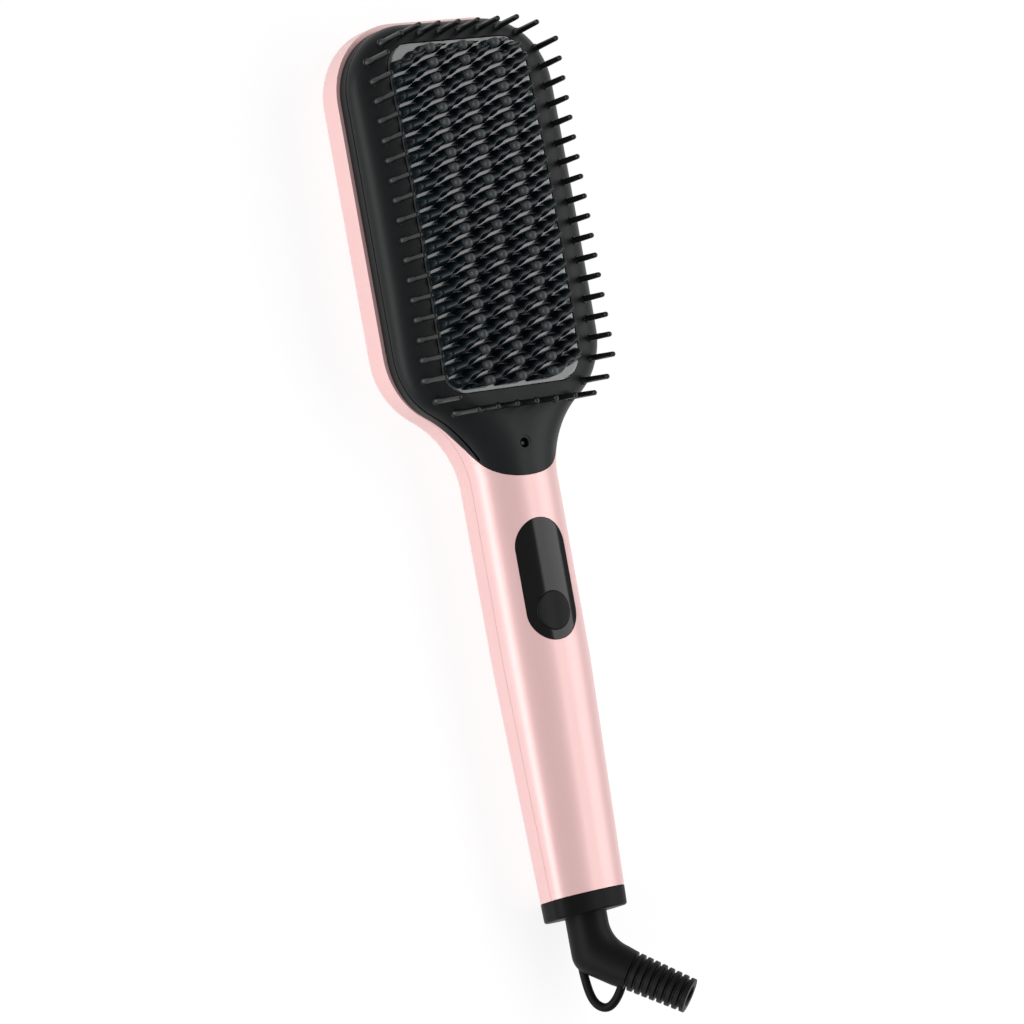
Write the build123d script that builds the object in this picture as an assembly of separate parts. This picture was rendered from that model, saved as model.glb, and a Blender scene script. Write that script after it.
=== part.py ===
from build123d import *
import math
import os

# Heated paddle brush, lying on its flat back. Millimetres.
# X runs across the brush, +Y along it towards the top of the head, +Z out of the bristle side.
# A "station" is a distance down the brush from the top of the head.

# --- body outline, seen from the front
head_width = 78.0
head_corner_radius = 24.0
neck_start = 104.0
neck_length = 44.0
neck_shoulder_radius = 24.0
handle_width = 31.0
handle_end_width = 26.8
taper_start = 205.0
shell_end = 279.0

# --- body heights above the flat back
rim_height = 13.6          # parting between the rear shell and what covers it
band_height = 3.9          # black band round the side of the head
crown_rise = 8.5           # from the band up to the flat face
crown_margin = 13.0        # width of the rounded border of the face
handle_front = 24.0
handle_end_front = 21.2
handle_crown_flat = 3.0    # nearly flat strip along the middle of the handle
head_edge_radius = 7.0
handle_edge_radius = 10.0
wall = 2.0

# --- tongue of the face cover on the neck, seen from the side
tongue_start = 118.0
tongue_tip = 146.6
tongue_tip_height = 23.5
band_end = 140.0

# --- end cap
cap_height = 6.2
cap_slant = 0.13           # how much longer the back is, per mm of height
cap_spigot_length = 6.0
cap_spigot_wall = 1.5

# --- comb
plate_width = 51.4
plate_length = 110.2
plate_start = 8.6
plate_corner_radius = 8.0
plate_thickness = 1.6
plate_groove = 0.4
post_column_pitch = 12.0
post_column_count = 3
post_row_pitch = 4.77
post_row_count = 23
post_radius = 1.5
post_height = 6.8
post_dome = 1.2
fin_base_width = 3.7       # a fin's extent along the brush at its foot
fin_crest_width = 1.2
fin_height = 4.6
fin_slot_depth = 0.6
fin_inset = 0.9            # bare border of the plate round the fins
# One step of a fin's climb: distance across from a column of posts, rise towards the head's top
fin_steps = ((-1.9, -0.64), (0.5, 0.16), (4.6, 1.03), (6.0, 2.6), (6.9, 2.95), (8.9, 3.13))

# --- bristles
bristle_radius = 0.8
bristle_tip_level = 36.0
bristle_hole_clearance = 0.06
side_bristle_x = 31.5
side_bristle_start = 13.2
side_bristle_pitch = 6.25
side_bristle_count = 17
corner_bristle = (27.8, 119.8)
row_bristle_pitch = 7.3
top_row_station = 5.4
top_row_count = 6
top_corner_bristle = (25.4, 7.6)
bottom_row_station = 124.3
bottom_row_count = 7
bristle_fan = 3.0          # degrees of lean along the brush at the ends of a side strip
strip_width = 2.4
strip_thickness = 1.5
strip_level = 16.5

# --- parts under the comb
frame_flange = 2.0         # how far the comb frame reaches past the plate
frame_rim = 2.6            # how much of the plate's edge rests on it
frame_level = 20.6
frame_flange_thickness = 2.0
frame_post_radius = 2.5
frame_post_stations = (16.0, 112.0)
frame_post_clearance = 0.3
heater_width = 20.0
heater_length = 92.0
heater_thickness = 1.2
mica_thickness = 0.5
mica_overlap = 1.5
clamp_thickness = 1.0
clamp_width = 33.0
clamp_length = 98.0
clamp_screw_x = 14.0
clamp_screw_spread = 44.0
clamp_boss_radius = 2.4
sensor_radius = 1.1
sensor_length = 5.0
sensor_station = 78.0
fuse_radius = 2.0
fuse_length = 11.0
fuse_station = 50.0

# --- control panel on the handle
pill_width = 18.3
pill_length = 38.5
pill_start = 160.3
pill_clearance = 0.15
lens_thickness = 1.5
lens_flange = 2.2
lens_flange_thickness = 1.0
button_radius = 6.1
button_clearance = 0.15
button_dish = 0.3
button_flange = 0.7
button_flange_thickness = 1.0
button_travel = 0.6
button_rise_gap = 0.3
stem_radius = 2.0

# --- electronics in the handle
board_level = 11.0
board_thickness = 1.6
board_width = 21.0
board_start = 156.0
board_length = 72.0
board_post_radius = 2.6
board_post_inset = 4.0
display_size = (11.0, 19.0, 6.5)
display_station = 172.0
switch_size = 6.0
switch_height = 3.4
plunger_radius = 1.7
plunger_rise = 1.0
plunger_bore_clearance = 0.08
capacitor_size = (6.0, 13.0, 6.5)
capacitor_station = 212.0
triac_size = (8.0, 4.4, 5.0)
triac_tab = (8.0, 1.2, 4.6)
triac_station = 203.0
inductor_radius = 4.0
inductor_height = 6.0
inductor_station = 222.0
generator_size = (16.0, 18.0, 8.0)
generator_station = 245.0
generator_rib = 1.2

# --- ion outlet
ion_station = 136.6
ion_bezel_radius = 2.4
ion_bezel_bore = 1.6
ion_bezel_flange = 0.9
ion_bezel_length = 6.0
emitter_radius = 0.6
emitter_base_radius = 1.5
emitter_base_length = 3.0
emitter_recess = 1.2

# --- fasteners
screw_radius = 1.25
screw_head_radius = 2.3
screw_head_height = 1.6
screw_hole_clearance = 0.1
counterbore_depth = 3.0
head_screw_x = 27.6
head_screw_stations = (30.0, 96.0)
head_post_radius = 2.0
handle_screw_stations = (151.0, 231.5, 257.6)
handle_post_radius = 3.0
rear_post_wall = 1.0       # round a screw's counterbore
post_gap = 0.6             # between the parting and the top of a post
handle_post_reach = 3.0    # how far a front post reaches past the parting
small_screw_radius = 0.95
small_screw_head = 1.8
small_screw_head_height = 1.1
small_screw_length = 5.0

# --- swivel, elbow, strain relief and loop
swivel_level = 11.0
boss_radius = 6.7
boss_clearance = 0.25
boss_start = 281.2
bush_radius = 6.0
bush_wall = 1.4
bush_length = 10.0
journal_clearance = 0.08
journal_length = 19.0
wire_bore_radius = 2.4
circlip_thickness = 0.9
circlip_reach = 1.4
ring_width = 2.0
ring_wall = 0.7
ring_gap = 1.6
pivot_station = 297.7
relief_angle = 58.0        # from the handle's axis
relief_turn = 48.0         # about the handle's axis, from +X towards the front
elbow_radius = 6.3
elbow_reach = 13.0
nipple_radius = 4.4
nipple_length = 6.0
relief_reach = 33.4
relief_end_radius = 5.6
rib_pitch = 2.5
rib_width = 1.55
rib_depth = 0.95
cord_bore_radius = 3.3
loop_radius = 1.4
loop_bend = 4.2

# --- inner leads
lead_radius = 0.8
lead_bend = 3.0
heater_lead_x = 5.0
mains_lead_x = 10.4

# --- derived places
cap_end = shell_end + cap_height
overall_length = (pivot_station + relief_reach * math.cos(math.radians(relief_angle))
                  + relief_end_radius * math.sin(math.radians(relief_angle)))
head_top = overall_length / 2
face_height = rim_height + band_height + crown_rise
neck_end = neck_start + neck_length
neck_turn = 2 * math.atan((head_width - handle_width) / 2 / neck_length)
waist_radius = neck_length / math.sin(neck_turn) - neck_shoulder_radius
shoulder_end = neck_start + neck_shoulder_radius * math.sin(neck_turn)
plate_middle = plate_start + plate_length / 2
pill_end = pill_start + pill_length
button_station = pill_end - pill_width / 2
far = 200.0


def y_at(station):
    return head_top - station


def blend(station, first, last, start, end):
    """Smooth change from one value to another between two stations."""
    share = min(max((station - first) / (last - first), 0.0), 1.0)
    share = share * share * (3 - 2 * share)
    return start + (end - start) * share


def half_width(station):
    """Half the body's width below the rounded corners: two tangent arcs make the neck."""
    if station <= neck_start:
        return head_width / 2
    if station <= shoulder_end:
        drop = math.sqrt(neck_shoulder_radius ** 2 - (station - neck_start) ** 2)
        return head_width / 2 - neck_shoulder_radius + drop
    if station <= neck_end:
        drop = math.sqrt(waist_radius ** 2 - (neck_end - station) ** 2)
        return handle_width / 2 + waist_radius - drop
    taper = (station - taper_start) / (shell_end - taper_start)
    return (handle_width - (handle_width - handle_end_width) * max(taper, 0.0)) / 2


def front_level(station):
    taper = (station - taper_start) / (shell_end - taper_start)
    handle = handle_front - (handle_front - handle_end_front) * max(taper, 0.0)
    return blend(station, neck_start + 6, neck_end, face_height, handle)


def crown_start(station):
    return blend(station, neck_start, neck_end, rim_height + band_height, rim_height + 0.4)


def crown_width(station):
    handle = half_width(station) - handle_crown_flat / 2
    return min(blend(station, neck_start, neck_end, crown_margin, handle), handle)


def edge_radius(station):
    return blend(station, neck_start, neck_end, head_edge_radius, handle_edge_radius)


def section_plane(station):
    return Plane(origin=(0, y_at(station), 0), x_dir=(1, 0, 0), z_dir=(0, -1, 0))


def section(station, inset=0.0):
    """Cross-section: flat back, rounded back edges, short walls, elliptical crown, flat middle."""
    half = half_width(station) - inset
    low = inset
    radius = edge_radius(station) - inset
    rise_from = crown_start(station)
    crown = crown_width(station) - inset
    top = front_level(station) - inset
    with BuildSketch(section_plane(station)) as sketch:
        with BuildLine():
            Line((radius - half, low), (half - radius, low))
            CenterArc((half - radius, low + radius), radius, 270, 90)
            Line((half, low + radius), (half, rise_from))
            EllipticalCenterArc((half - crown, rise_from), crown, top - rise_from, 0, arc_size=90)
            Line((half - crown, top), (crown - half, top))
            EllipticalCenterArc((crown - half, rise_from), crown, top - rise_from, 90, arc_size=90)
            Line((-half, rise_from), (-half, low + radius))
            CenterArc((radius - half, low + radius), radius, 180, 90)
        make_face()
    return sketch.sketch.face()


def half_section(plane, reach, inset=0.0):
    """Border of the head from an inner line out to the rim, drawn on the given plane."""
    radius = head_edge_radius - inset
    rim = reach - inset
    crown = crown_margin - inset
    rise_from = rim_height + band_height
    top = face_height - inset
    with BuildSketch(plane) as sketch:
        with BuildLine():
            Line((0, inset), (rim - radius, inset))
            CenterArc((rim - radius, inset + radius), radius, 270, 90)
            Line((rim, inset + radius), (rim, rise_from))
            EllipticalCenterArc((rim - crown, rise_from), crown, top - rise_from, 0, arc_size=90)
            Line((rim - crown, top), (0, top))
            Line((0, top), (0, inset))
        make_face()
    return sketch.sketch.face()


def head_block(inset):
    """Straight-sided head with two turned corners and a straight border between them."""
    corner_x = head_width / 2 - head_corner_radius
    corner_y = y_at(head_corner_radius)
    block = extrude(section(head_corner_radius, inset), neck_start - head_corner_radius)
    border = Plane(origin=(-corner_x, corner_y, 0), x_dir=(0, 1, 0), z_dir=(1, 0, 0))
    block += extrude(half_section(border, head_corner_radius, inset), 2 * corner_x)
    for side in (-1, 1):
        plane = Plane(origin=(side * corner_x, corner_y, 0), x_dir=(0, 1, 0), z_dir=(1, 0, 0))
        profile = half_section(plane, head_corner_radius, inset)
        block += revolve(profile, Axis((side * corner_x, corner_y, 0), (0, 0, 1)), -90 * side)
    return block


def stations_between(first, last, count):
    return [first + (last - first) * step / count for step in range(count + 1)]


def envelope(inset=0.0):
    """Outer form of the whole body, or the same form a given distance inside it."""
    neck = loft([section(s, inset) for s in stations_between(neck_start, neck_end, 9)])
    handle = extrude(section(neck_end, inset), taper_start - neck_end)
    tail_end = cap_end + 12
    tail = loft([section(s, inset) for s in (taper_start, tail_end)], ruled=True)
    return head_block(inset) + neck + handle + tail


def side_prism(*edges):
    """Solid right across the body, bounded by the given edges drawn in the side view (Y, Z)."""
    face = make_face(Wire(edges))
    return extrude(face, far, both=True)


def side_point(station, level):
    return Vector(0, y_at(station), level)


def side_line(start, end):
    return Edge.make_line(side_point(*start), side_point(*end))


def above_curve(level, tip_station, tip_level):
    """Everything in front of a parting that runs level down the head and then curves up."""
    run = tip_station - tongue_start
    rise = tip_level - level
    radius = (run ** 2 + rise ** 2) / (2 * rise)
    half_turn = math.atan2(rise, run)
    middle = (tongue_start + radius * math.sin(half_turn),
              level + radius * (1 - math.cos(half_turn)))
    arc = Edge.make_three_point_arc(side_point(tongue_start, level), side_point(*middle),
                                    side_point(tip_station, tip_level))
    return side_prism(side_line((-far, level), (tongue_start, level)), arc,
                      side_line((tip_station, tip_level), (tip_station, far)),
                      side_line((tip_station, far), (-far, far)),
                      side_line((-far, far), (-far, level)))


def below_station(station, slant=0.0):
    """Everything further down the brush than a station, on a plane that may lean."""
    low = station + slant * (swivel_level + far)
    high = station + slant * (swivel_level - far)
    return side_prism(side_line((low, -far), (high, far)), side_line((high, far), (3 * far, far)),
                      side_line((3 * far, far), (3 * far, -far)),
                      side_line((3 * far, -far), (low, -far)))


def level_slab(bottom, top):
    height = top - bottom
    return Pos(0, 0, bottom + height / 2) * Box(4 * far, 4 * far, height)


def upright(x, station, bottom, top, radius):
    """Cylinder standing along Z."""
    height = top - bottom
    return Pos(x, y_at(station), bottom + height / 2) * Cylinder(radius, height)


def block(x, station, bottom, size):
    return Pos(x, y_at(station), bottom + size[2] / 2) * Box(*size)


def along_handle(station_from, station_to, radius):
    """Cylinder on the swivel's axis between two stations."""
    length = station_to - station_from
    place = Pos(0, y_at(station_from + length / 2), swivel_level) * Rot(90, 0, 0)
    return place * Cylinder(radius, length)


def plate_prism(grow, bottom, top):
    """Rounded rectangle of the comb plate, made larger by grow on every side."""
    outline = RectangleRounded(plate_width + 2 * grow, plate_length + 2 * grow,
                               plate_corner_radius + grow)
    return Pos(0, y_at(plate_middle), bottom) * extrude(outline, top - bottom)


def pill_prism(grow):
    outline = SlotOverall(pill_length + 2 * grow, pill_width + 2 * grow, rotation=90)
    place = Pos(0, y_at(pill_start + pill_length / 2), swivel_level)
    return place * extrude(outline, far)


def solids_of(shape, smallest=0.5):
    """Keep the real pieces of a cut, without slivers."""
    kept = [s for s in shape.solids() if s.volume > smallest]
    return kept[0] if len(kept) == 1 else Compound(children=kept)


def save(name, shape):
    export_step(shape, os.path.join("parts", name + ".step"))


# --- bristles

def bristle_spots():
    """Strip name, place and lean of every bristle."""
    spots = []
    half_run = plate_length / 2
    for side, strip in ((-1, "left"), (1, "right")):
        for row in range(side_bristle_count):
            station = side_bristle_start + row * side_bristle_pitch
            lean = bristle_fan * (plate_middle - station) / half_run
            spots.append((strip, side * side_bristle_x, station, lean))
        spots.append((strip, side * corner_bristle[0], corner_bristle[1], -bristle_fan))
    for column in range(top_row_count):
        x = (column - (top_row_count - 1) / 2) * row_bristle_pitch
        spots.append(("top", x, top_row_station, bristle_fan))
    for side in (-1, 1):
        spots.append(("top", side * top_corner_bristle[0], top_corner_bristle[1], bristle_fan))
    for column in range(bottom_row_count):
        x = (column - (bottom_row_count - 1) / 2) * row_bristle_pitch
        spots.append(("bottom", x, bottom_row_station, -bristle_fan))
    return spots


def bristle(x, station, lean, radius, length):
    """Pin standing on a strip, leaning towards the head's top by the given angle."""
    start = strip_level + strip_thickness / 2
    pin = Pos(0, 0, length / 2) * Cylinder(radius, length)
    return Pos(x, y_at(station), start) * Rot(-lean, 0, 0) * pin


def strip_bar(strip):
    """Flat bar that carries one run of bristles inside the cover."""
    if strip in ("left", "right"):
        side = -1 if strip == "left" else 1
        last = side_bristle_start + (side_bristle_count - 1) * side_bristle_pitch
        path = [(side * side_bristle_x, side_bristle_start - strip_width / 2),
                (side * side_bristle_x, last), (side * corner_bristle[0], corner_bristle[1])]
    elif strip == "top":
        end = (top_row_count - 1) / 2 * row_bristle_pitch
        path = [(-top_corner_bristle[0], top_corner_bristle[1]), (-end, top_row_station),
                (end, top_row_station), top_corner_bristle]
    else:
        end = (bottom_row_count - 1) / 2 * row_bristle_pitch + strip_width / 2
        path = [(-end, bottom_row_station), (end, bottom_row_station)]
    line = Polyline(*[(x, y_at(station)) for x, station in path])
    return Pos(0, 0, strip_level) * extrude(trace(line, strip_width), strip_thickness)


def bristle_strip(strip):
    bar = strip_bar(strip)
    length = bristle_tip_level - strip_level - strip_thickness / 2
    for name, x, station, lean in bristle_spots():
        if name == strip:
            bar += bristle(x, station, lean, bristle_radius, length)
    return bar


def bristle_holes():
    length = far / 4
    radius = bristle_radius + bristle_hole_clearance
    return [bristle(x, s, lean, radius, length) for _, x, s, lean in bristle_spots()]


# --- body shells

outer = envelope()
inner = envelope(wall)
hollow = outer - inner
in_front_of_band = above_curve(rim_height + band_height, band_end, tongue_tip_height - 4.0)
in_front_of_pink = above_curve(rim_height, tongue_tip, tongue_tip_height)
past_shells = below_station(shell_end, cap_slant)
past_cap = below_station(cap_end, cap_slant)


def head_screw_places():
    return [(side * head_screw_x, s) for side in (-1, 1) for s in head_screw_stations]


def handle_screw_places():
    return [(0.0, s) for s in handle_screw_stations]


def frame_post_places():
    x = plate_width / 2
    return [(side * x, s) for side in (-1, 1) for s in frame_post_stations]


def board_post_places():
    x = board_width / 2 - board_post_inset
    ends = (board_start + board_post_inset, board_start + board_length - board_post_inset)
    return [(side * x, s) for side in (-1, 1) for s in ends]


def rear_shell():
    shell = hollow & level_slab(-1, rim_height)
    shell = shell - past_shells
    posts = []
    post_top = rim_height - post_gap
    bored = screw_head_radius + screw_hole_clearance
    for x, s in head_screw_places():
        posts.append(upright(x, s, wall / 2, post_top, bored + rear_post_wall))
    for x, s in handle_screw_places():
        posts.append(upright(x, s, wall / 2, post_top - handle_post_reach, bored + rear_post_wall))
    for x, s in frame_post_places():
        posts.append(upright(x, s, wall / 2, frame_level, frame_post_radius))
    for x, s in board_post_places():
        posts.append(upright(x, s, wall / 2, board_level, board_post_radius))
    for side in (-1, 1):
        x = side * (generator_size[0] / 2 - generator_rib)
        rib = (generator_rib, generator_size[1] - 2, wall)
        posts.append(block(x, generator_station, wall / 2, rib))
    shell = shell + (Compound(children=posts) & outer)
    cuts = []
    for x, s in head_screw_places() + handle_screw_places():
        cuts.append(upright(x, s, -1, counterbore_depth, bored))
        cuts.append(upright(x, s, -1, rim_height, screw_radius + screw_hole_clearance))
    for x, s in board_post_places():
        depth = small_screw_length - board_thickness + 0.5
        cuts.append(upright(x, s, board_level - depth, board_level + 1, small_screw_radius))
    return solids_of(shell - cuts)


def handle_front_shell():
    shell = (hollow & level_slab(rim_height, far)) - in_front_of_pink - past_shells
    shell = shell - pill_prism(pill_clearance)
    posts = []
    for x, s in handle_screw_places():
        bottom = rim_height - handle_post_reach - post_gap
        posts.append(upright(x, s, bottom, front_level(s) - wall / 2, handle_post_radius))
    shell = shell + Compound(children=posts)
    holes = []
    for x, s in handle_screw_places():
        holes.append(upright(x, s, 0, front_level(s) - wall - 1, screw_radius))
    return solids_of(shell - holes)


def head_band():
    ring = (hollow & in_front_of_pink) - in_front_of_band - below_station(band_end)
    return solids_of(ring)


def face_cover():
    cover = hollow & in_front_of_band
    cover = cover + ((hollow & in_front_of_pink) & below_station(band_end))
    posts = []
    for x, s in head_screw_places():
        posts.append(upright(x, s, rim_height + band_height - 2, face_height, head_post_radius))
    cover = cover + (Compound(children=posts) & envelope(wall / 2))
    cuts = [plate_prism(plate_groove, rim_height, far)]
    for x, s in head_screw_places():
        cuts.append(upright(x, s, 0, rim_height + band_height + 1.6, screw_radius))
    cuts.append(upright(0, ion_station, rim_height, far, ion_bezel_radius))
    cuts.extend(bristle_holes())
    return solids_of(cover - cuts)


def end_cap():
    """Cap with a spigot inside the shells and a tube for the swivel's bush."""
    body = (outer & past_shells) - past_cap
    body = fillet(body.faces().sort_by(Axis.Y)[0].edges(), 0.8)
    fit = 0.1
    spigot = envelope(wall + fit) - envelope(wall + fit + cap_spigot_wall)
    spigot = (spigot & below_station(shell_end - cap_spigot_length)) - past_cap
    tube = along_handle(boss_start - bush_length, cap_end, bush_radius + cap_spigot_wall)
    core = body + spigot + (tube - past_cap)
    boss_bore = along_handle(boss_start - 0.3, cap_end + 9, boss_radius + boss_clearance)
    bush_bore = along_handle(shell_end - 3 * bush_length, cap_end, bush_radius)
    return solids_of(core - boss_bore - bush_bore)


# --- comb

def comb_plate():
    low = face_height - plate_thickness
    plate = plate_prism(0, low, face_height)
    for side in (-1, 1):
        for end in (-1, 1):
            station = plate_middle + end * clamp_screw_spread
            bottom = low - heater_thickness - mica_thickness
            boss = upright(side * clamp_screw_x, station, bottom, low + 0.2, clamp_boss_radius)
            hole = upright(side * clamp_screw_x, station, bottom - 1, low + 0.6,
                           small_screw_radius)
            plate = plate + boss - hole
    slots = [fin_body(number, fin_slots=True) for number in range(fin_count())]
    sockets = []
    for x, station in post_places():
        sockets.append(upright(x, station, face_height - fin_slot_depth, far, post_radius))
    return solids_of(plate - slots - sockets)


def post_place(column, row):
    x = (column - (post_column_count - 1) / 2) * post_column_pitch
    return x, plate_middle + (row - (post_row_count - 1) / 2) * post_row_pitch


def post_places():
    return [post_place(column, row) for column in range(post_column_count)
            for row in range(post_row_count)]


def fin_count():
    """Each fin climbs one row of posts per column, and every fin carries a post."""
    return post_row_count + post_column_count - 1


def fin_wire(number, width, level):
    line = []
    for column in range(-1, post_column_count + 1):
        x, station = post_place(column, number - column)
        line += [(x + across, station - rise) for across, rise in fin_steps]
    upper = [Vector(x, y_at(station - width / 2), level) for x, station in line]
    lower = [Vector(x, y_at(station + width / 2), level) for x, station in reversed(line)]
    return Wire.make_polygon(upper + lower, close=True)


def fin_body(number, fin_slots=False):
    """Wavy fin that narrows to its crest, or the slot in the plate for its foot."""
    foot = face_height - fin_slot_depth
    crest = (fin_base_width, far) if fin_slots else (fin_crest_width, face_height + fin_height)
    sections = [fin_wire(number, fin_base_width, foot),
                fin_wire(number, fin_base_width, face_height), fin_wire(number, *crest)]
    return Solid.make_loft(sections, ruled=True) & plate_prism(-fin_inset, 0, far)


def heating_fins():
    fins = []
    for number in range(fin_count()):
        fin = fin_body(number)
        for column in range(post_column_count):
            x, station = post_place(column, number - column)
            fin = fin - upright(x, station, 0, far, post_radius)
        fins.append(solids_of(fin))
    return Compound(children=fins)


def comb_posts():
    posts = []
    for x, station in post_places():
        post = upright(x, station, face_height - fin_slot_depth, face_height + post_height,
                       post_radius)
        rim = post.edges().sort_by(Axis.Z)[-1]
        posts.append(fillet(rim, post_dome).solid())
    return Compound(children=posts)


def comb_frame():
    """Heat-resistant frame: a flange under the cover and a rim under the plate's edge."""
    flange = plate_prism(frame_flange, frame_level, frame_level + frame_flange_thickness)
    rim = plate_prism(0, frame_level, face_height - plate_thickness)
    frame = flange + rim - plate_prism(-frame_rim, 0, far)
    notch = head_post_radius + frame_post_clearance
    return solids_of(frame - [upright(x, s, 0, far, notch) for x, s in head_screw_places()])


def under_plate(width, length, top, thickness):
    return block(0, plate_middle, top - thickness, (width, length, thickness))


heater_top = face_height - plate_thickness
mica_top = heater_top - heater_thickness
clamp_top = mica_top - mica_thickness


def heater_element():
    return under_plate(heater_width, heater_length, heater_top, heater_thickness)


def mica_sheet():
    length = heater_length + 2 * mica_overlap
    return under_plate(heater_width + 2 * mica_overlap, length, mica_top, mica_thickness)


def clamp_screw_places():
    ends = [plate_middle + end * clamp_screw_spread for end in (-1, 1)]
    return [(side * clamp_screw_x, s) for side in (-1, 1) for s in ends]


def heater_clamp():
    clamp = under_plate(clamp_width, clamp_length, clamp_top, clamp_thickness)
    for x, s in clamp_screw_places():
        hole = small_screw_radius + screw_hole_clearance
        clamp = clamp - upright(x, s, 0, far, hole)
    return clamp - upright(0, sensor_station, 0, far, sensor_radius + 0.1)


def small_screw(x, station, seat, downwards):
    """Pan-head screw whose head rests on a seat, pointing down or up."""
    turn = Rot(0, 0, 0) if downwards else Rot(180, 0, 0)
    head = Pos(0, 0, small_screw_head_height / 2) * Cylinder(small_screw_head,
                                                             small_screw_head_height)
    slot = Pos(0, 0, small_screw_head_height) * Box(2 * small_screw_head, 0.5, 0.8)
    shank_length = small_screw_length
    shank = Pos(0, 0, -shank_length / 2) * Cylinder(small_screw_radius - 0.02, shank_length)
    return Pos(x, y_at(station), seat) * turn * (head - slot + shank)


def clamp_screws():
    seat = clamp_top - clamp_thickness
    length_left = heater_thickness + mica_thickness + clamp_thickness
    screws = []
    for x, s in clamp_screw_places():
        screw = small_screw(x, s, seat, False)
        screw = screw - level_slab(seat + length_left + 0.5, far)
        screws.append(solids_of(screw))
    return Compound(children=screws)


def board_screws():
    seat = board_level + board_thickness
    return Compound(children=[solids_of(small_screw(x, s, seat, True))
                              for x, s in board_post_places()])


def temperature_sensor():
    """Glass bead standing in the clamp's hole against the heater, with its two legs."""
    top = mica_top - mica_thickness
    bead = upright(0, sensor_station, top - sensor_length, top, sensor_radius)
    return bead


def thermal_fuse():
    bottom = clamp_top - clamp_thickness - 2 * fuse_radius
    place = Pos(0, y_at(fuse_station), bottom + fuse_radius) * Rot(90, 0, 0)
    return place * Cylinder(fuse_radius, fuse_length)


# --- ion outlet

def ion_bezel():
    top = front_level(ion_station)
    ring = upright(0, ion_station, top - ion_bezel_length, top - 0.1, ion_bezel_radius - 0.02)
    low = top - ion_bezel_length
    flange = upright(0, ion_station, low, top - wall - 0.35, ion_bezel_radius + ion_bezel_flange)
    return solids_of((ring + flange) - upright(0, ion_station, 0, far, ion_bezel_bore))


def ion_emitter():
    """Discharge needle on a socket that plugs the bezel's lower end."""
    top = front_level(ion_station)
    low = top - ion_bezel_length
    needle = upright(0, ion_station, low, top - emitter_recess, emitter_radius)
    base = upright(0, ion_station, low - emitter_base_length, low + 1.2, emitter_base_radius)
    return solids_of(needle + base)


def ion_generator():
    case = block(0, generator_station, 1.5 * wall, generator_size)
    return fillet(case.edges().filter_by(Axis.Z), 1.0)


# --- control panel

def lens_blank():
    rim = (outer - envelope(lens_thickness)) & pill_prism(0)
    start = wall + 0.05
    carrier = envelope(start) - envelope(start + lens_flange_thickness)
    neck = (envelope(lens_thickness - 0.2) - envelope(start + 0.2)) & pill_prism(0)
    return rim + neck + (carrier & pill_prism(lens_flange))


def display_lens():
    hole = upright(0, button_station, 0, far, button_radius + button_clearance)
    window = display_size
    recess = block(0, display_station, board_level, (window[0] + 1, window[1] + 1, 10.5))
    return solids_of(lens_blank() - hole - recess)


def display_module():
    return block(0, display_station, board_level + board_thickness, display_size)


def power_button():
    """Round key with a dished top, a retaining flange under the lens and a stem."""
    flange_top = handle_front - wall - lens_flange_thickness - 1.4
    skirt = upright(0, button_station, flange_top - 0.2, far, button_radius) & outer
    dish_radius = button_radius ** 2 / (2 * button_dish)
    dish = Pos(0, y_at(button_station), handle_front + dish_radius - 2 * button_dish)
    skirt = skirt - dish * Sphere(dish_radius)
    flange = upright(0, button_station, flange_top - button_flange_thickness, flange_top,
                     button_radius + button_flange)
    stem_end = plunger_top() + button_rise_gap
    stem = upright(0, button_station, stem_end, flange_top, stem_radius)
    return solids_of(skirt + flange + stem)


def plunger_top():
    return board_level + board_thickness + switch_height + plunger_rise


def tact_switch_body():
    bottom = board_level + board_thickness
    body = block(0, button_station, bottom, (switch_size, switch_size, switch_height))
    bore = upright(0, button_station, bottom + 0.8, far, plunger_radius + plunger_bore_clearance)
    return body - bore


def tact_plunger():
    bottom = board_level + board_thickness + 0.8 + button_travel + 0.3
    return upright(0, button_station, bottom, plunger_top(), plunger_radius)


# --- electronics

def control_board():
    middle = board_start + board_length / 2
    board = block(0, middle, board_level, (board_width, board_length, board_thickness))
    for x, s in board_post_places():
        hole = small_screw_radius + screw_hole_clearance
        board = board - upright(x, s, 0, far, hole)
    return board


def film_capacitor():
    size = capacitor_size
    case = block(-5.0, capacitor_station, board_level + board_thickness, size)
    return fillet(case.edges().filter_by(Axis.Z), 0.6)


def triac():
    """Power switch in its moulded body, with the metal tab behind it."""
    seat = board_level + board_thickness
    body = block(3.5, triac_station, seat, triac_size)
    back = triac_station - (triac_size[1] - triac_tab[1]) / 2
    return body + block(3.5, back, seat + triac_size[2] - 2, triac_tab)


def inductor():
    seat = board_level + board_thickness
    coil = upright(4.5, inductor_station - 6, seat, seat + inductor_height, inductor_radius)
    return coil - upright(4.5, inductor_station - 6, seat + 1, far, 1.0)


# --- housing screws

def housing_screw(x, station, length):
    seat = counterbore_depth
    head = upright(x, station, seat - screw_head_height, seat, screw_head_radius)
    socket = Pos(x, y_at(station), seat - screw_head_height) * Box(2.6, 0.7, 1.6)
    socket += Pos(x, y_at(station), seat - screw_head_height) * Box(0.7, 2.6, 1.6)
    shank = upright(x, station, seat - 0.1, seat + length, screw_radius - 0.02)
    return solids_of(head - socket + shank)


def housing_screws():
    head_length = rim_height + band_height - counterbore_depth
    handle_length = rim_height - counterbore_depth + 3
    screws = [housing_screw(x, s, head_length) for x, s in head_screw_places()]
    screws += [housing_screw(x, s, handle_length) for x, s in handle_screw_places()]
    return Compound(children=screws)


# --- swivel

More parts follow.
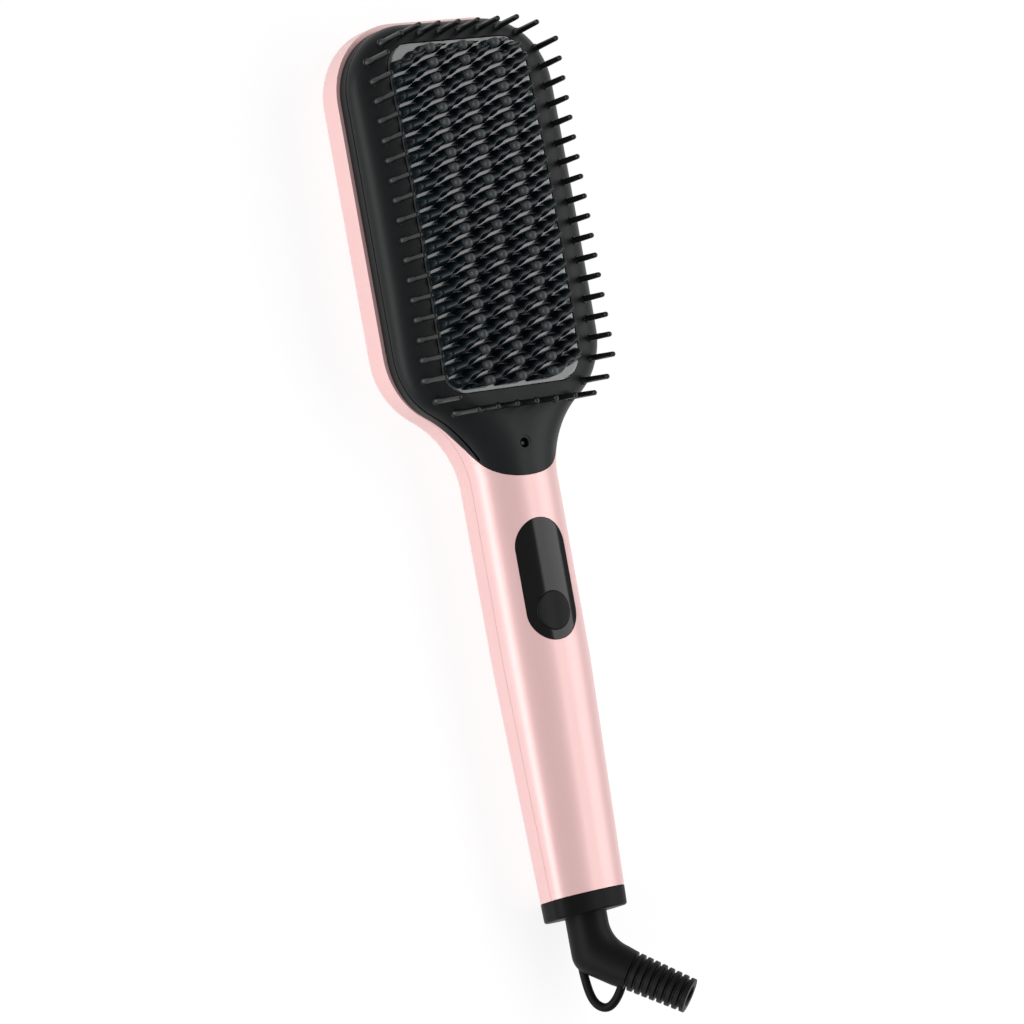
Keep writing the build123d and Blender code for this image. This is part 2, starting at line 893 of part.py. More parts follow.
def relief_plane():
    """Plane of the elbow: x out to the side where the cord leaves, y down the brush."""
    turn = math.radians(relief_turn)
    return Plane(origin=(0, y_at(pivot_station), swivel_level),
                 x_dir=(math.cos(turn), 0, math.sin(turn)),
                 z_dir=(math.sin(turn), 0, -math.cos(turn)))


def relief_axis_plane(distance):
    """Plane across the strain relief at a distance from the pivot."""
    angle = math.radians(relief_angle)
    plane = relief_plane()
    away = plane.x_dir * math.sin(angle) + plane.y_dir * math.cos(angle)
    return Plane(origin=plane.origin + away * distance, x_dir=plane.z_dir, z_dir=away)


def along_relief(first, last, radius, end_radius=None):
    plane = relief_axis_plane(first)
    if end_radius is None:
        return plane * Pos(0, 0, (last - first) / 2) * Cylinder(radius, last - first)
    return plane * Pos(0, 0, (last - first) / 2) * Cone(radius, end_radius, last - first)


journal_radius = bush_radius - bush_wall - journal_clearance
journal_start = boss_start - journal_length
clip_station = boss_start - bush_length - circlip_thickness - 0.6


def swivel_elbow():
    elbow = along_handle(boss_start, pivot_station, boss_radius)
    elbow += along_handle(journal_start, boss_start + 1, journal_radius)
    elbow += Pos(0, y_at(pivot_station), swivel_level) * Sphere(boss_radius)
    elbow += along_relief(0, elbow_reach, elbow_radius)
    elbow += along_relief(elbow_reach, elbow_reach + nipple_length, nipple_radius)
    groove = along_handle(clip_station, clip_station + circlip_thickness + 0.1, far / 20)
    groove = groove - along_handle(clip_station - 1, clip_station + 3, journal_radius - 0.6)
    rings_end = clip_station - 1.2
    step = along_handle(journal_start - 1, rings_end, far / 20)
    step = step - along_handle(journal_start - 2, rings_end + 1, journal_radius - ring_wall)
    bores = along_handle(journal_start - 1, pivot_station, wire_bore_radius)
    bores += along_relief(0, elbow_reach + nipple_length + 1, cord_bore_radius - 0.3)
    return solids_of(elbow - groove - step - bores)


def ring_stations():
    first = journal_start + 0.4
    return (first, first + ring_width + ring_gap)


def slip_rings():
    rings = []
    for station in ring_stations():
        ring = along_handle(station, station + ring_width, journal_radius + 0.1)
        bore = along_handle(station - 1, station + ring_width + 1, journal_radius - ring_wall)
        rings.append((ring - bore).solid())
    return Compound(children=rings)


def swivel_circlip():
    last = clip_station + circlip_thickness
    clip = along_handle(clip_station + 0.05, last, journal_radius - 0.6 + circlip_reach)
    clip = clip - along_handle(clip_station - 1, last + 1, journal_radius - 0.58)
    gap = Pos(0, y_at(clip_station), swivel_level - journal_radius) * Box(2, 4, 4)
    return solids_of(clip - gap)


def swivel_bush():
    start = boss_start - bush_length
    bush = along_handle(start, boss_start - 0.4, bush_radius - 0.02)
    return bush - along_handle(start - 1, boss_start + 1, bush_radius - bush_wall)


def brush_contacts():
    """Two sprung contact fingers that press on the slip rings from their carriers."""
    fingers = []
    for station in ring_stations():
        middle = station + ring_width / 2
        low = swivel_level - journal_radius - 0.15
        fingers.append(block(0, middle, wall, (1.6, ring_width - 0.4, low - wall)).solid())
    return Compound(children=fingers)


def rib_radius(distance):
    share = (distance - elbow_reach) / (relief_reach - elbow_reach)
    return elbow_radius + (relief_end_radius - elbow_radius) * share


def strain_relief():
    """Ribbed sleeve pushed over the elbow's nipple, with the cord's bore through it."""
    core = along_relief(elbow_reach, relief_reach, elbow_radius - rib_depth,
                        relief_end_radius - rib_depth)
    ribs = int((relief_reach - elbow_reach) / rib_pitch)
    for rib in range(ribs + 1):
        last = relief_reach - rib * rib_pitch
        first = max(last - rib_width, elbow_reach)
        if last - first > 0.5:
            core += along_relief(first, last, rib_radius((first + last) / 2))
    socket_end = elbow_reach + nipple_length + 0.3
    core = core - along_relief(elbow_reach - 1, socket_end, nipple_radius + 0.03)
    return solids_of(core - along_relief(elbow_reach, relief_reach + 1, cord_bore_radius))


def hang_loop():
    """Round-section loop from the boss's lower end back to the elbow's underside."""
    plane = relief_plane()
    angle = math.radians(relief_angle)
    left = loop_radius + 1.25 - boss_radius
    bottom = overall_length - pivot_station - 3.1 - loop_radius
    seat = elbow_reach - 1.9
    end = (seat * math.sin(angle) - (elbow_radius - 2) * math.cos(angle),
           seat * math.cos(angle) + (elbow_radius - 2) * math.sin(angle))
    corner = (end[0] - 1.8, bottom)
    path = FilletPolyline((left, 2.0), (left, bottom), corner, end, radius=loop_bend)
    path = plane * path
    ring = Plane(origin=path @ 0, z_dir=path % 0) * Circle(loop_radius)
    loop = sweep(ring, path=path)
    loop = loop - along_handle(boss_start, pivot_station, boss_radius)
    loop = loop - Pos(0, y_at(pivot_station), swivel_level) * Sphere(boss_radius)
    loop = loop - along_relief(0, elbow_reach + 2, elbow_radius)
    return solids_of(loop)


# --- leads

def lead(points):
    path = FilletPolyline(*points, radius=lead_bend)
    ring = Plane(origin=path @ 0, z_dir=path % 0) * Circle(lead_radius)
    return sweep(ring, path=path).solid()


def heater_leads():
    """Pair of glass-braided leads from the heater to the board's head end."""
    leads = []
    under = clamp_top - clamp_thickness - lead_radius - 0.05
    seat = board_level + board_thickness + lead_radius + 0.05
    for side in (-1, 1):
        x = side * heater_lead_x
        leads.append(lead([(x, y_at(plate_middle + 30), under),
                           (x, y_at(plate_middle + 38), under),
                           (x, y_at(bottom_row_station - 5), seat),
                           (x, y_at(board_start + 1.6), seat)]))
    return Compound(children=leads)


def mains_leads():
    """Pair of leads from the swivel's contacts up to the board's lower end."""
    leads = []
    board_end = board_start + board_length
    seat = board_level + board_thickness + lead_radius + 0.05
    for side, ring in zip((-1, 1), ring_stations()):
        x = side * (0.9 + lead_radius)
        out = side * mains_lead_x
        leads.append(lead([(x, y_at(ring + ring_width / 2), wall + lead_radius + 0.4),
                           (out, y_at(journal_start - 6), 6.5),
                           (out, y_at(board_end + 9), 9.0),
                           (side * 7.0, y_at(board_end + 3), seat),
                           (side * 7.0, y_at(board_end - 1.6), seat)]))
    return Compound(children=leads)


def ion_lead():
    """High-voltage lead from the generator to the emitter's socket."""
    socket = front_level(ion_station) - ion_bezel_length - emitter_base_length
    side = -(board_width / 2 + lead_radius + 0.25)
    top = generator_station - generator_size[1] / 2
    return lead([(-7.0, y_at(top), 6.0), (-7.0, y_at(top - 5), 6.0),
                 (side, y_at(top - 12), 9.0), (side, y_at(board_start), 9.0),
                 (0, y_at(ion_station + 5), socket - 3.5),
                 (0, y_at(ion_station), socket - lead_radius)])


makers = {
    "rear_shell": rear_shell,
    "handle_front_shell": handle_front_shell,
    "head_band": head_band,
    "face_cover": face_cover,
    "end_cap": end_cap,
    "comb_plate": comb_plate,
    "heating_fins": heating_fins,
    "comb_posts": comb_posts,
    "comb_frame": comb_frame,
    "heater_element": heater_element,
    "mica_sheet": mica_sheet,
    "heater_clamp": heater_clamp,
    "clamp_screws": clamp_screws,
    "temperature_sensor": temperature_sensor,
    "thermal_fuse": thermal_fuse,
    "ion_bezel": ion_bezel,
    "ion_emitter": ion_emitter,
    "ion_generator": ion_generator,
    "display_lens": display_lens,
    "display_module": display_module,
    "power_button": power_button,
    "tact_switch_body": tact_switch_body,
    "tact_plunger": tact_plunger,
    "control_board": control_board,
    "board_screws": board_screws,
    "film_capacitor": film_capacitor,
    "triac": triac,
    "inductor": inductor,
    "housing_screws": housing_screws,
    "swivel_elbow": swivel_elbow,
    "slip_rings": slip_rings,
    "swivel_circlip": swivel_circlip,
    "swivel_bush": swivel_bush,
    "brush_contacts": brush_contacts,
    "strain_relief": strain_relief,
    "hang_loop": hang_loop,
    "heater_leads": heater_leads,
    "mains_leads": mains_leads,
    "ion_lead": ion_lead,
}

os.makedirs("parts", exist_ok=True)
for strip in ("left", "right", "top", "bottom"):
    save("bristle_strip_" + strip, bristle_strip(strip))
for name, maker in makers.items():
    save(name, maker())
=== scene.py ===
import bmesh
import bpy
import math
import numpy as np
from mathutils import Matrix, Vector


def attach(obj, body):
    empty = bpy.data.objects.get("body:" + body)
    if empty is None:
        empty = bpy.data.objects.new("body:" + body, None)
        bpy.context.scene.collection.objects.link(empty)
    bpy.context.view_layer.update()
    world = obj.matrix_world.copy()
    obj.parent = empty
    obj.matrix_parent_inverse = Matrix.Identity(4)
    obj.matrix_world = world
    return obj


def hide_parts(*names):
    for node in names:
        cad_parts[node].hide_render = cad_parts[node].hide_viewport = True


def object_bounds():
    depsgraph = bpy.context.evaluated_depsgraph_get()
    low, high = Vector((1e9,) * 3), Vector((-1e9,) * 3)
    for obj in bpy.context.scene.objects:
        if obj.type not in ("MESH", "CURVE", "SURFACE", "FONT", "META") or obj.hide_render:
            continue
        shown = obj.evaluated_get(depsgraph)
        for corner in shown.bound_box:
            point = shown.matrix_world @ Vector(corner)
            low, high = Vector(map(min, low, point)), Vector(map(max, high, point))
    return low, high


# Heated paddle brush on its flat back. Shapes are worked out in millimetres and put into the
# meshes in metres. A station is a distance down the brush from the top of the head, and a level
# is a height over the back.

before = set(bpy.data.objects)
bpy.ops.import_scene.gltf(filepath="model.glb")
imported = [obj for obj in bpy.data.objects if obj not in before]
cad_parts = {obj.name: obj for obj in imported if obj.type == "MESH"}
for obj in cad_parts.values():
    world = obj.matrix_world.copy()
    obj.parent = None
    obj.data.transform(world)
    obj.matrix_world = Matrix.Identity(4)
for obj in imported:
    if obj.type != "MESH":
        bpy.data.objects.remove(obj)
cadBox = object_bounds()
millimetre = 0.001
headTop = cadBox[1].y / millimetre
print("frame loaded:", len(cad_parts), "nodes")

body = {
    "headWidth": 78.0, "cornerRadius": 24.0,
    "neckStart": 104.0, "neckLength": 44.0, "shoulderRadius": 24.0,
    "handleWidth": 31.0, "handleEndWidth": 26.8, "taperStart": 205.0, "shellEnd": 279.0,
    "rimHeight": 13.6, "bandHeight": 3.9, "crownRise": 8.5,
    "sideCrown": 13.0, "topCrown": 8.6,          # width of the rounded border of the face
    "handleFront": 24.0, "handleEndFront": 21.2, "handleCrownFlat": 3.0, "handleRise": 14.0,
    "headEdge": 7.0, "handleEdge": 10.0,         # rounding of the back edges
    "sag": 1.5, "sagEnd": 136.0,                 # how far the face bows down at the comb's ends
    "tongueStart": 118.0, "tongueTip": 146.6, "tipRound": 136.0, "tipLead": 0.41,
    "sideInset": 1.1, "topInset": 1.6,           # how far the black pieces stand back
    "pinkTip": 23.5, "bandEnd": 140.0, "bandTip": 19.5,
    "capSlant": 0.13, "swivelLevel": 11.0,
    "bowEnd": 1.1, "bowFade": 6.0, "faceEnd": 6.0,
    "wall": 1.8, "partingGap": 0.07, "edgeBevel": 0.16,
    "headStep": 4.0, "neckRows": 34, "handleRows": 40, "tipRows": 18, "bandColumns": 9,
    "coverColumns": 30, "coverBendRows": 14, "stripColumns": 17,
}
plate = {
    "width": 51.4, "length": 110.2, "start": 8.6, "corner": 8.0, "thickness": 1.6,
    "groove": 0.4, "edgeBevel": 0.25, "cornerRows": 14, "rows": 40, "columns": 33,
}
neckEnd = body["neckStart"] + body["neckLength"]
tiny = 1e-6


def quarterTurn(count):
    return np.linspace(0, math.pi / 2, count)


def fullTurn(sides):
    return np.linspace(0, 2 * math.pi, sides + 1)


# smooth change of a value between two stations
def easeBetween(station, first, last, start, end):
    share = np.clip((station - first) / (last - first), 0, 1)
    return start + (end - start) * share * share * (3 - 2 * share)


# how far along the handle's taper a station is, past 1 beyond the shell's end
def taperShare(station):
    return np.clip((station - body["taperStart"]) / (body["shellEnd"] - body["taperStart"]), 0, None)


# half the outline's width: straight head, two tangent arcs, then the tapering handle
def halfWidth(station):
    half, slim, neckStart = body["headWidth"] / 2, body["handleWidth"] / 2, body["neckStart"]
    turn = 2 * math.atan((half - slim) / body["neckLength"])
    shoulder = body["shoulderRadius"]
    waist = body["neckLength"] / math.sin(turn) - shoulder
    upper = half - shoulder + np.sqrt(np.clip(shoulder ** 2 - (station - neckStart) ** 2, 0, None))
    lower = slim + waist - np.sqrt(np.clip(waist ** 2 - (neckEnd - station) ** 2, 0, None))
    handle = slim - (slim - body["handleEndWidth"] / 2) * taperShare(station)
    return np.select([station <= neckStart, station <= neckStart + shoulder * math.sin(turn),
                      station <= neckEnd], [half + 0 * station, upper, lower], handle)


# height of the front's middle: a bowed face, then a smooth drop to the handle
def frontLevel(station):
    face = body["rimHeight"] + body["bandHeight"] + body["crownRise"]
    handle = body["handleFront"] - (body["handleFront"] - body["handleEndFront"]) * taperShare(station)
    half = plate["length"] / 2
    away = np.minimum(np.abs(station - plate["start"] - half) / half, body["bowEnd"])
    fadeStart = plate["start"] + plate["length"] - body["bowFade"]
    bow = body["sag"] * away ** 2 * easeBetween(station, fadeStart, body["sagEnd"], 1, 0)
    return easeBetween(station, body["neckStart"] + body["faceEnd"], neckEnd, face, handle) - bow


# height at which the front's crown begins
def crownStart(station):
    return easeBetween(station, body["neckStart"], neckEnd,
                       body["rimHeight"] + body["bandHeight"], body["handleRise"])


# rounding of the back's edge
def edgeRadius(station):
    return easeBetween(station, body["neckStart"], neckEnd, body["headEdge"], body["handleEdge"])


# a parting runs level down the head, then bends up in an arc tangent to it
def partingLevel(station, level, tipStation, tipLevel):
    run, rise = tipStation - body["tongueStart"], tipLevel - level
    radius = (run ** 2 + rise ** 2) / (2 * rise)
    past = np.clip(station - body["tongueStart"], 0, run)
    return level + radius - np.sqrt(radius ** 2 - past ** 2)


# height of the parting over the pink shell
def pinkLevel(station):
    return partingLevel(station, body["rimHeight"], body["tongueTip"], body["pinkTip"])


# A row stands for one place along the right half of the outline: it is a line outwards from a
# centre (x, v) along (dx, dv) to the rim. The rows of the top edge and the corner start a corner
# radius inside the rim, and those down the side start on the middle line.
def makeRows(stations, topRows=9, cornerRows=26):
    inset = body["headWidth"] / 2 - body["cornerRadius"]
    radius = body["cornerRadius"]
    across = np.linspace(0, inset, topRows)
    turn = quarterTurn(cornerRows)[1:]
    stations = np.asarray(stations, float)
    flat = np.zeros_like(stations)
    top = np.zeros_like(across)
    half = halfWidth(stations)
    widest = half - body["handleCrownFlat"] / 2
    sideCrown = np.minimum(easeBetween(stations, body["neckStart"], neckEnd,
                                       body["sideCrown"], widest), widest)
    cornerCrown = body["topCrown"] + (body["sideCrown"] - body["topCrown"]) * np.sin(turn) ** 2
    return {
        "x": np.concatenate([across, inset + 0 * turn, flat]),
        "v": np.concatenate([top + radius, radius + 0 * turn, stations]),
        "dx": np.concatenate([top, np.sin(turn), flat + 1]),
        "dv": np.concatenate([top - 1, -np.cos(turn), flat]),
        "reach": np.concatenate([top + radius, radius + 0 * turn, half]),
        "crown": np.concatenate([top + body["topCrown"], cornerCrown, sideCrown]),
        "pivot": np.concatenate([top, 0 * turn, flat + inset]),
    }


def pickRows(rows, keep):
    return {name: value[keep] for name, value in rows.items()}


# the rows down the right side alone
def sideRows(stations):
    return pickRows(makeRows(stations, 1, 1), slice(1, None))


# where the flat middles of back and front end, and where their inner pieces end
def flats(rows):
    reach, station = rows["reach"], rows["v"]
    back = reach - edgeRadius(station)
    front = reach - rows["crown"]
    wide = body["headWidth"] / 2
    backPivot = rows["pivot"] * back / (wide - body["headEdge"])
    frontPivot = rows["pivot"] * front / (wide - body["sideCrown"])
    return back, front, backPivot, frontPivot


# The way round a section, as one number: -3 middle of the back, -1 start of the rounded back
# edge, 0 foot of the wall, 1 foot of the elliptical crown, 2 its top, 4 middle of the front.
backMiddle, wallFoot, crownFoot, crownTop, frontMiddle = -3, 0, 1, 2, 4


# Points at given ways: a flat back, a quarter circle for its edge, a straight wall, a quarter
# ellipse for the crown, then a flat front.
def sectionPoints(rows, way):
    way = np.broadcast_to(way, (len(rows["v"]), np.shape(way)[-1]))
    back, front, backPivot, frontPivot = (value[:, None] for value in flats(rows))
    reach, crown = rows["reach"][:, None], rows["crown"][:, None]
    edge, rise = edgeRadius(rows["v"])[:, None], crownStart(rows["v"])[:, None]
    bend = np.clip(way + 1, 0, 1) * math.pi / 2
    arch = np.clip(way - 1, 0, 1) * math.pi / 2
    out = np.select(
        [way < -2, way < -1, way < 0, way < 1, way < 2, way < 3],
        [(way + 3) * backPivot, backPivot + (way + 2) * (back - backPivot),
         back + edge * np.sin(bend), reach + 0 * way, front + crown * np.cos(arch),
         front - (way - 2) * (front - frontPivot)], (4 - way) * frontPivot)
    station = rows["v"][:, None] + rows["dv"][:, None] * out
    level = np.select([way < 0, way < 1], [edge * (1 - np.cos(bend)), edge + (rise - edge) * way],
                      rise + (frontLevel(station) - rise) * np.sin(arch))
    return np.stack([rows["x"][:, None] + rows["dx"][:, None] * out, station, level], -1)


# the way at which a section reaches a level on its side
def wayAtLevel(rows, level):
    edge, rise = edgeRadius(rows["v"]), crownStart(rows["v"])
    share = np.clip((level - rise) / (frontLevel(rows["v"]) - rise), 0, 1)
    return np.where(level <= rise, (level - edge) / (rise - edge),
                    crownFoot + np.arcsin(share) * 2 / math.pi)


# the way at which a section's front is a distance out from its centre, for one or more columns
def wayAtDistance(rows, out):
    _, front, _, pivot = flats(rows)
    crown = rows["crown"]
    if np.ndim(out) == 2:
        front, pivot, crown = front[:, None], pivot[:, None], crown[:, None]
    arch = np.arccos(np.clip((out - front) / crown, 0, 1)) * 2 / math.pi
    flat = crownTop + (front - out) / np.maximum(front - pivot, tiny)
    inner = crownTop + 1 + (pivot - out) / np.maximum(pivot, tiny)
    return np.select([out >= front, out >= pivot], [crownFoot + arch, flat], inner)


# half the width between the partings at one station
def partingHalf(station):
    side = sideRows([station])
    return sectionPoints(side, wayAtLevel(side, pinkLevel(side["v"]))[:, None])[0, 0, 0]


# The way at which the pink shell ends: on the parting, and round the tongue's tip on half an
# ellipse that is drawn in a little.
def pinkWay(rows):
    start, tip = body["tipRound"], body["tongueTip"]
    past = np.clip((rows["v"] - start) / (tip - start), 0, 1)
    width = partingHalf(start) * (np.sqrt(1 - past ** 2) - body["tipLead"] * past * (1 - past) ** 1.5)
    return np.where(rows["v"] > start, wayAtDistance(rows, width),
                    wayAtLevel(rows, pinkLevel(rows["v"])))


# points of the black pieces, drawn in at the head's sides and flush again on the neck
def insetPoints(rows, way):
    grid = sectionPoints(rows, way)
    inset = body["sideInset"] + (body["topInset"] - body["sideInset"]) * rows["dv"] ** 2
    inset = inset * easeBetween(rows["v"], body["neckStart"], body["tipRound"], 1, 0)
    pull = inset[:, None] * np.clip(crownTop - way, 0, 1)
    grid[..., 0] -= rows["dx"][:, None] * pull
    grid[..., 1] -= rows["dv"][:, None] * pull
    return grid


# the way at which the black band ends, below the crown and then up it on the neck
def bandWay(rows):
    start = body["rimHeight"] + body["bandHeight"]
    level = partingLevel(rows["v"], start, body["bandEnd"], body["bandTip"])
    return wayAtLevel(rows, level)


# columns spread evenly between two values of each row
def spread(first, last, count):
    return first[:, None] + (last - first)[:, None] * np.linspace(0, 1, count)


# values in even stretches, each given as its last value and its number of steps
def chain(start, *stretches):
    values = [start]
    for end, steps in stretches:
        values += np.linspace(values[-1], end, steps + 1)[1:].tolist()
    return np.array(values)


creaseAngle, bevelAngle = 35, 50     # degrees of turn at which an edge is sharp, or is rounded
weldDistance = 0.002


def addObject(name, data):
    piece = bpy.data.objects.new(name, data)
    bpy.context.scene.collection.objects.link(piece)
    return piece


def shadeSmooth(mesh, sharpAngle=creaseAngle):
    mesh.shade_smooth()
    mesh.set_sharp_from_angle(angle=math.radians(sharpAngle))


# Point grids, rows by columns of (x, station, level), become one mesh. Each grid is turned so
# that it looks away from the given centre, or from the body's middle line.
def gridMesh(name, grids, centre=None, sharpAngle=creaseAngle):
    points, faces, count = [], [], 0
    origin = np.array([0, 0, body["swivelLevel"]] if centre is None else centre)
    for grid in grids:
        spot = np.stack([grid[..., 0], headTop - grid[..., 1], grid[..., 2]], -1)
        rowCount, columnCount = spot.shape[:2]
        index = np.arange(rowCount * columnCount).reshape(rowCount, columnCount)
        quad = np.stack([index[:-1, :-1], index[:-1, 1:], index[1:, 1:], index[1:, :-1]], -1)
        corner = spot.reshape(-1, 3)[quad.reshape(-1, 4)]
        normal = np.cross(corner[:, 2] - corner[:, 0], corner[:, 3] - corner[:, 1])
        away = corner.mean(1) - origin
        if centre is None:
            away[:, 1] = 0
        if (normal * away).sum() < 0:
            quad = quad[..., ::-1]
        points.append(spot.reshape(-1, 3) * millimetre)
        faces.append(quad.reshape(-1, 4) + count)
        count += rowCount * columnCount
    mesh = bpy.data.meshes.new(name)
    mesh.from_pydata(np.concatenate(points).tolist(), [], np.concatenate(faces).tolist())
    work = bmesh.new()
    work.from_mesh(mesh)
    bmesh.ops.remove_doubles(work, verts=work.verts, dist=weldDistance * millimetre)
    bmesh.ops.dissolve_degenerate(work, edges=work.edges, dist=weldDistance * millimetre / 10)
    work.to_mesh(mesh)
    work.free()
    shadeSmooth(mesh, sharpAngle)
    return addObject(name, mesh)


def mirrored(grid):
    return grid * np.array([-1.0, 1.0, 1.0])


def bothSides(grid):
    return [grid, mirrored(grid)]


def bakedMesh(source):
    bpy.context.view_layer.update()
    return bpy.data.meshes.new_from_object(source.evaluated_get(bpy.context.evaluated_depsgraph_get()))


# the piece's modifiers go into its mesh, and its edges are marked again
def settle(piece):
    old, mesh = piece.data, bakedMesh(piece)
    piece.modifiers.clear()
    piece.data = mesh
    bpy.data.meshes.remove(old)
    shadeSmooth(mesh)
    return piece


def fixNormals(piece):
    work = bmesh.new()
    work.from_mesh(piece.data)
    bmesh.ops.recalc_face_normals(work, faces=work.faces)
    work.to_mesh(piece.data)
    work.free()


# a mesh of closed shapes, with its faces turned outwards once its seams are merged
def closedMesh(name, grids, sharpAngle=creaseAngle):
    piece = gridMesh(name, grids, sharpAngle=sharpAngle)
    fixNormals(piece)
    return piece


# a surface that gets a wall behind it and rounded edges
def makeWall(name, grids, thickness, edge, segments=2):
    piece = gridMesh(name, grids)
    wall = piece.modifiers.new("wall", "SOLIDIFY")
    wall.thickness = thickness * millimetre
    wall.offset = -1
    wall.use_even_offset = True
    bevel = piece.modifiers.new("edges", "BEVEL")
    bevel.width = edge * millimetre
    bevel.segments = segments
    bevel.limit_method = "ANGLE"
    bevel.angle_limit = math.radians(bevelAngle)
    return settle(piece)


# large faces decide the shading, so that narrow faces beside a cut leave no line
def evenShading(piece):
    even = piece.modifiers.new("shading", "WEIGHTED_NORMAL")
    even.mode = "FACE_AREA"
    even.keep_sharp = True


# cuts round upright holes; each hole is (x, station, radius)
def drill(piece, holes, bottom, top, sides=48):
    grids = [turnedGrid([[0, bottom], [radius, bottom], [radius, top], [0, top]], x, station, 0, sides)
             for x, station, radius in holes]
    cutter = closedMesh("cutter", grids, 20)
    cut = piece.modifiers.new("holes", "BOOLEAN")
    cut.object = cutter
    cut.operation = "DIFFERENCE"
    cut.solver = "EXACT"
    settle(piece)
    bpy.data.objects.remove(cutter)


# a round profile of (distance from the axis, place along it) turned about an upright axis
def turnedGrid(profile, x=0.0, station=0.0, level=0.0, sides=48):
    turn = fullTurn(sides)[:, None]
    radius, height = np.asarray(profile, float).T
    return np.stack([x + radius * np.cos(turn), station + radius * np.sin(turn),
                     level + height + 0 * turn], -1)


# a colour of 0 to 255 as the linear values that a shader takes
def tint(red, green, blue):
    scaled = np.array([red, green, blue]) / 255
    linear = np.where(scaled <= 0.04045, scaled / 12.92, ((scaled + 0.055) / 1.055) ** 2.4)
    return (*linear.tolist(), 1.0)


def setInputs(node, values):
    for socket, value in values.items():
        node.inputs[socket].default_value = value


# each join is (node, output, node, input)
def connect(tree, *joins):
    for source, output, target, socket in joins:
        tree.links.new(source.outputs[output], target.inputs[socket])


plainLook = {
    "metallic": 0.0, "specular": 0.5, "coat": 0.0, "coatRoughness": 0.1, "roughnessChange": 0.04,
    "grainScale": 1500.0, "cloudScale": 40.0, "bump": 0.1, "bumpDepth": 0.03,
}


# Shared effect: two sizes of noise on the object's own coordinates give a height for bumps,
# a cloudy value for the colour and a finer one for the roughness.
def buildGrain():
    group = bpy.data.node_groups.new("mouldedGrain", "ShaderNodeTree")
    for name, key in (("Grain Scale", "grainScale"), ("Cloud Scale", "cloudScale")):
        socket = group.interface.new_socket(name=name, in_out="INPUT", socket_type="NodeSocketFloat")
        socket.default_value = plainLook[key]
    for name in ("Height", "Cloud", "Fine"):
        group.interface.new_socket(name=name, in_out="OUTPUT", socket_type="NodeSocketFloat")
    nodes = group.nodes
    inside, outside = nodes.new("NodeGroupInput"), nodes.new("NodeGroupOutput")
    place = nodes.new("ShaderNodeTexCoord")
    fine, cloud = nodes.new("ShaderNodeTexNoise"), nodes.new("ShaderNodeTexNoise")
    setInputs(fine, {"Detail": 2.0})
    setInputs(cloud, {"Detail": 3.0})
    connect(group, (place, "Object", fine, "Vector"), (place, "Object", cloud, "Vector"),
            (inside, "Grain Scale", fine, "Scale"), (inside, "Cloud Scale", cloud, "Scale"),
            (fine, "Fac", outside, "Height"), (cloud, "Fac", outside, "Cloud"),
            (fine, "Fac", outside, "Fine"))
    return group


grainGroup = buildGrain()


# A finish is a Principled shader whose colour, roughness and normal come from the grain group.
# What a look leaves out is taken from the plain one.
def makeFinish(name, baseColor, shade, roughness, changes):
    look = {**plainLook, **changes}
    material = bpy.data.materials.new(name)
    material.use_nodes = True
    nodes = material.node_tree.nodes
    shader, grain = nodes["Principled BSDF"], nodes.new("ShaderNodeGroup")
    color, rough = nodes.new("ShaderNodeMix"), nodes.new("ShaderNodeMapRange")
    bump = nodes.new("ShaderNodeBump")
    grain.node_tree = grainGroup
    color.data_type = "RGBA"
    setInputs(shader, {"Metallic": look["metallic"], "Specular IOR Level": look["specular"],
                       "Coat Weight": look["coat"], "Coat Roughness": look["coatRoughness"]})
    setInputs(grain, {"Grain Scale": look["grainScale"], "Cloud Scale": look["cloudScale"]})
    setInputs(color, {"A": tint(*baseColor), "B": tint(*shade)})
    setInputs(rough, {"To Min": roughness - look["roughnessChange"],
                      "To Max": roughness + look["roughnessChange"]})
    setInputs(bump, {"Strength": look["bump"], "Distance": look["bumpDepth"] * millimetre})
    connect(material.node_tree, (grain, "Cloud", color, "Factor"),
            (color, "Result", shader, "Base Color"), (grain, "Fine", rough, "Value"),
            (rough, "Result", shader, "Roughness"), (grain, "Height", bump, "Height"),
            (bump, "Normal", shader, "Normal"))
    return material


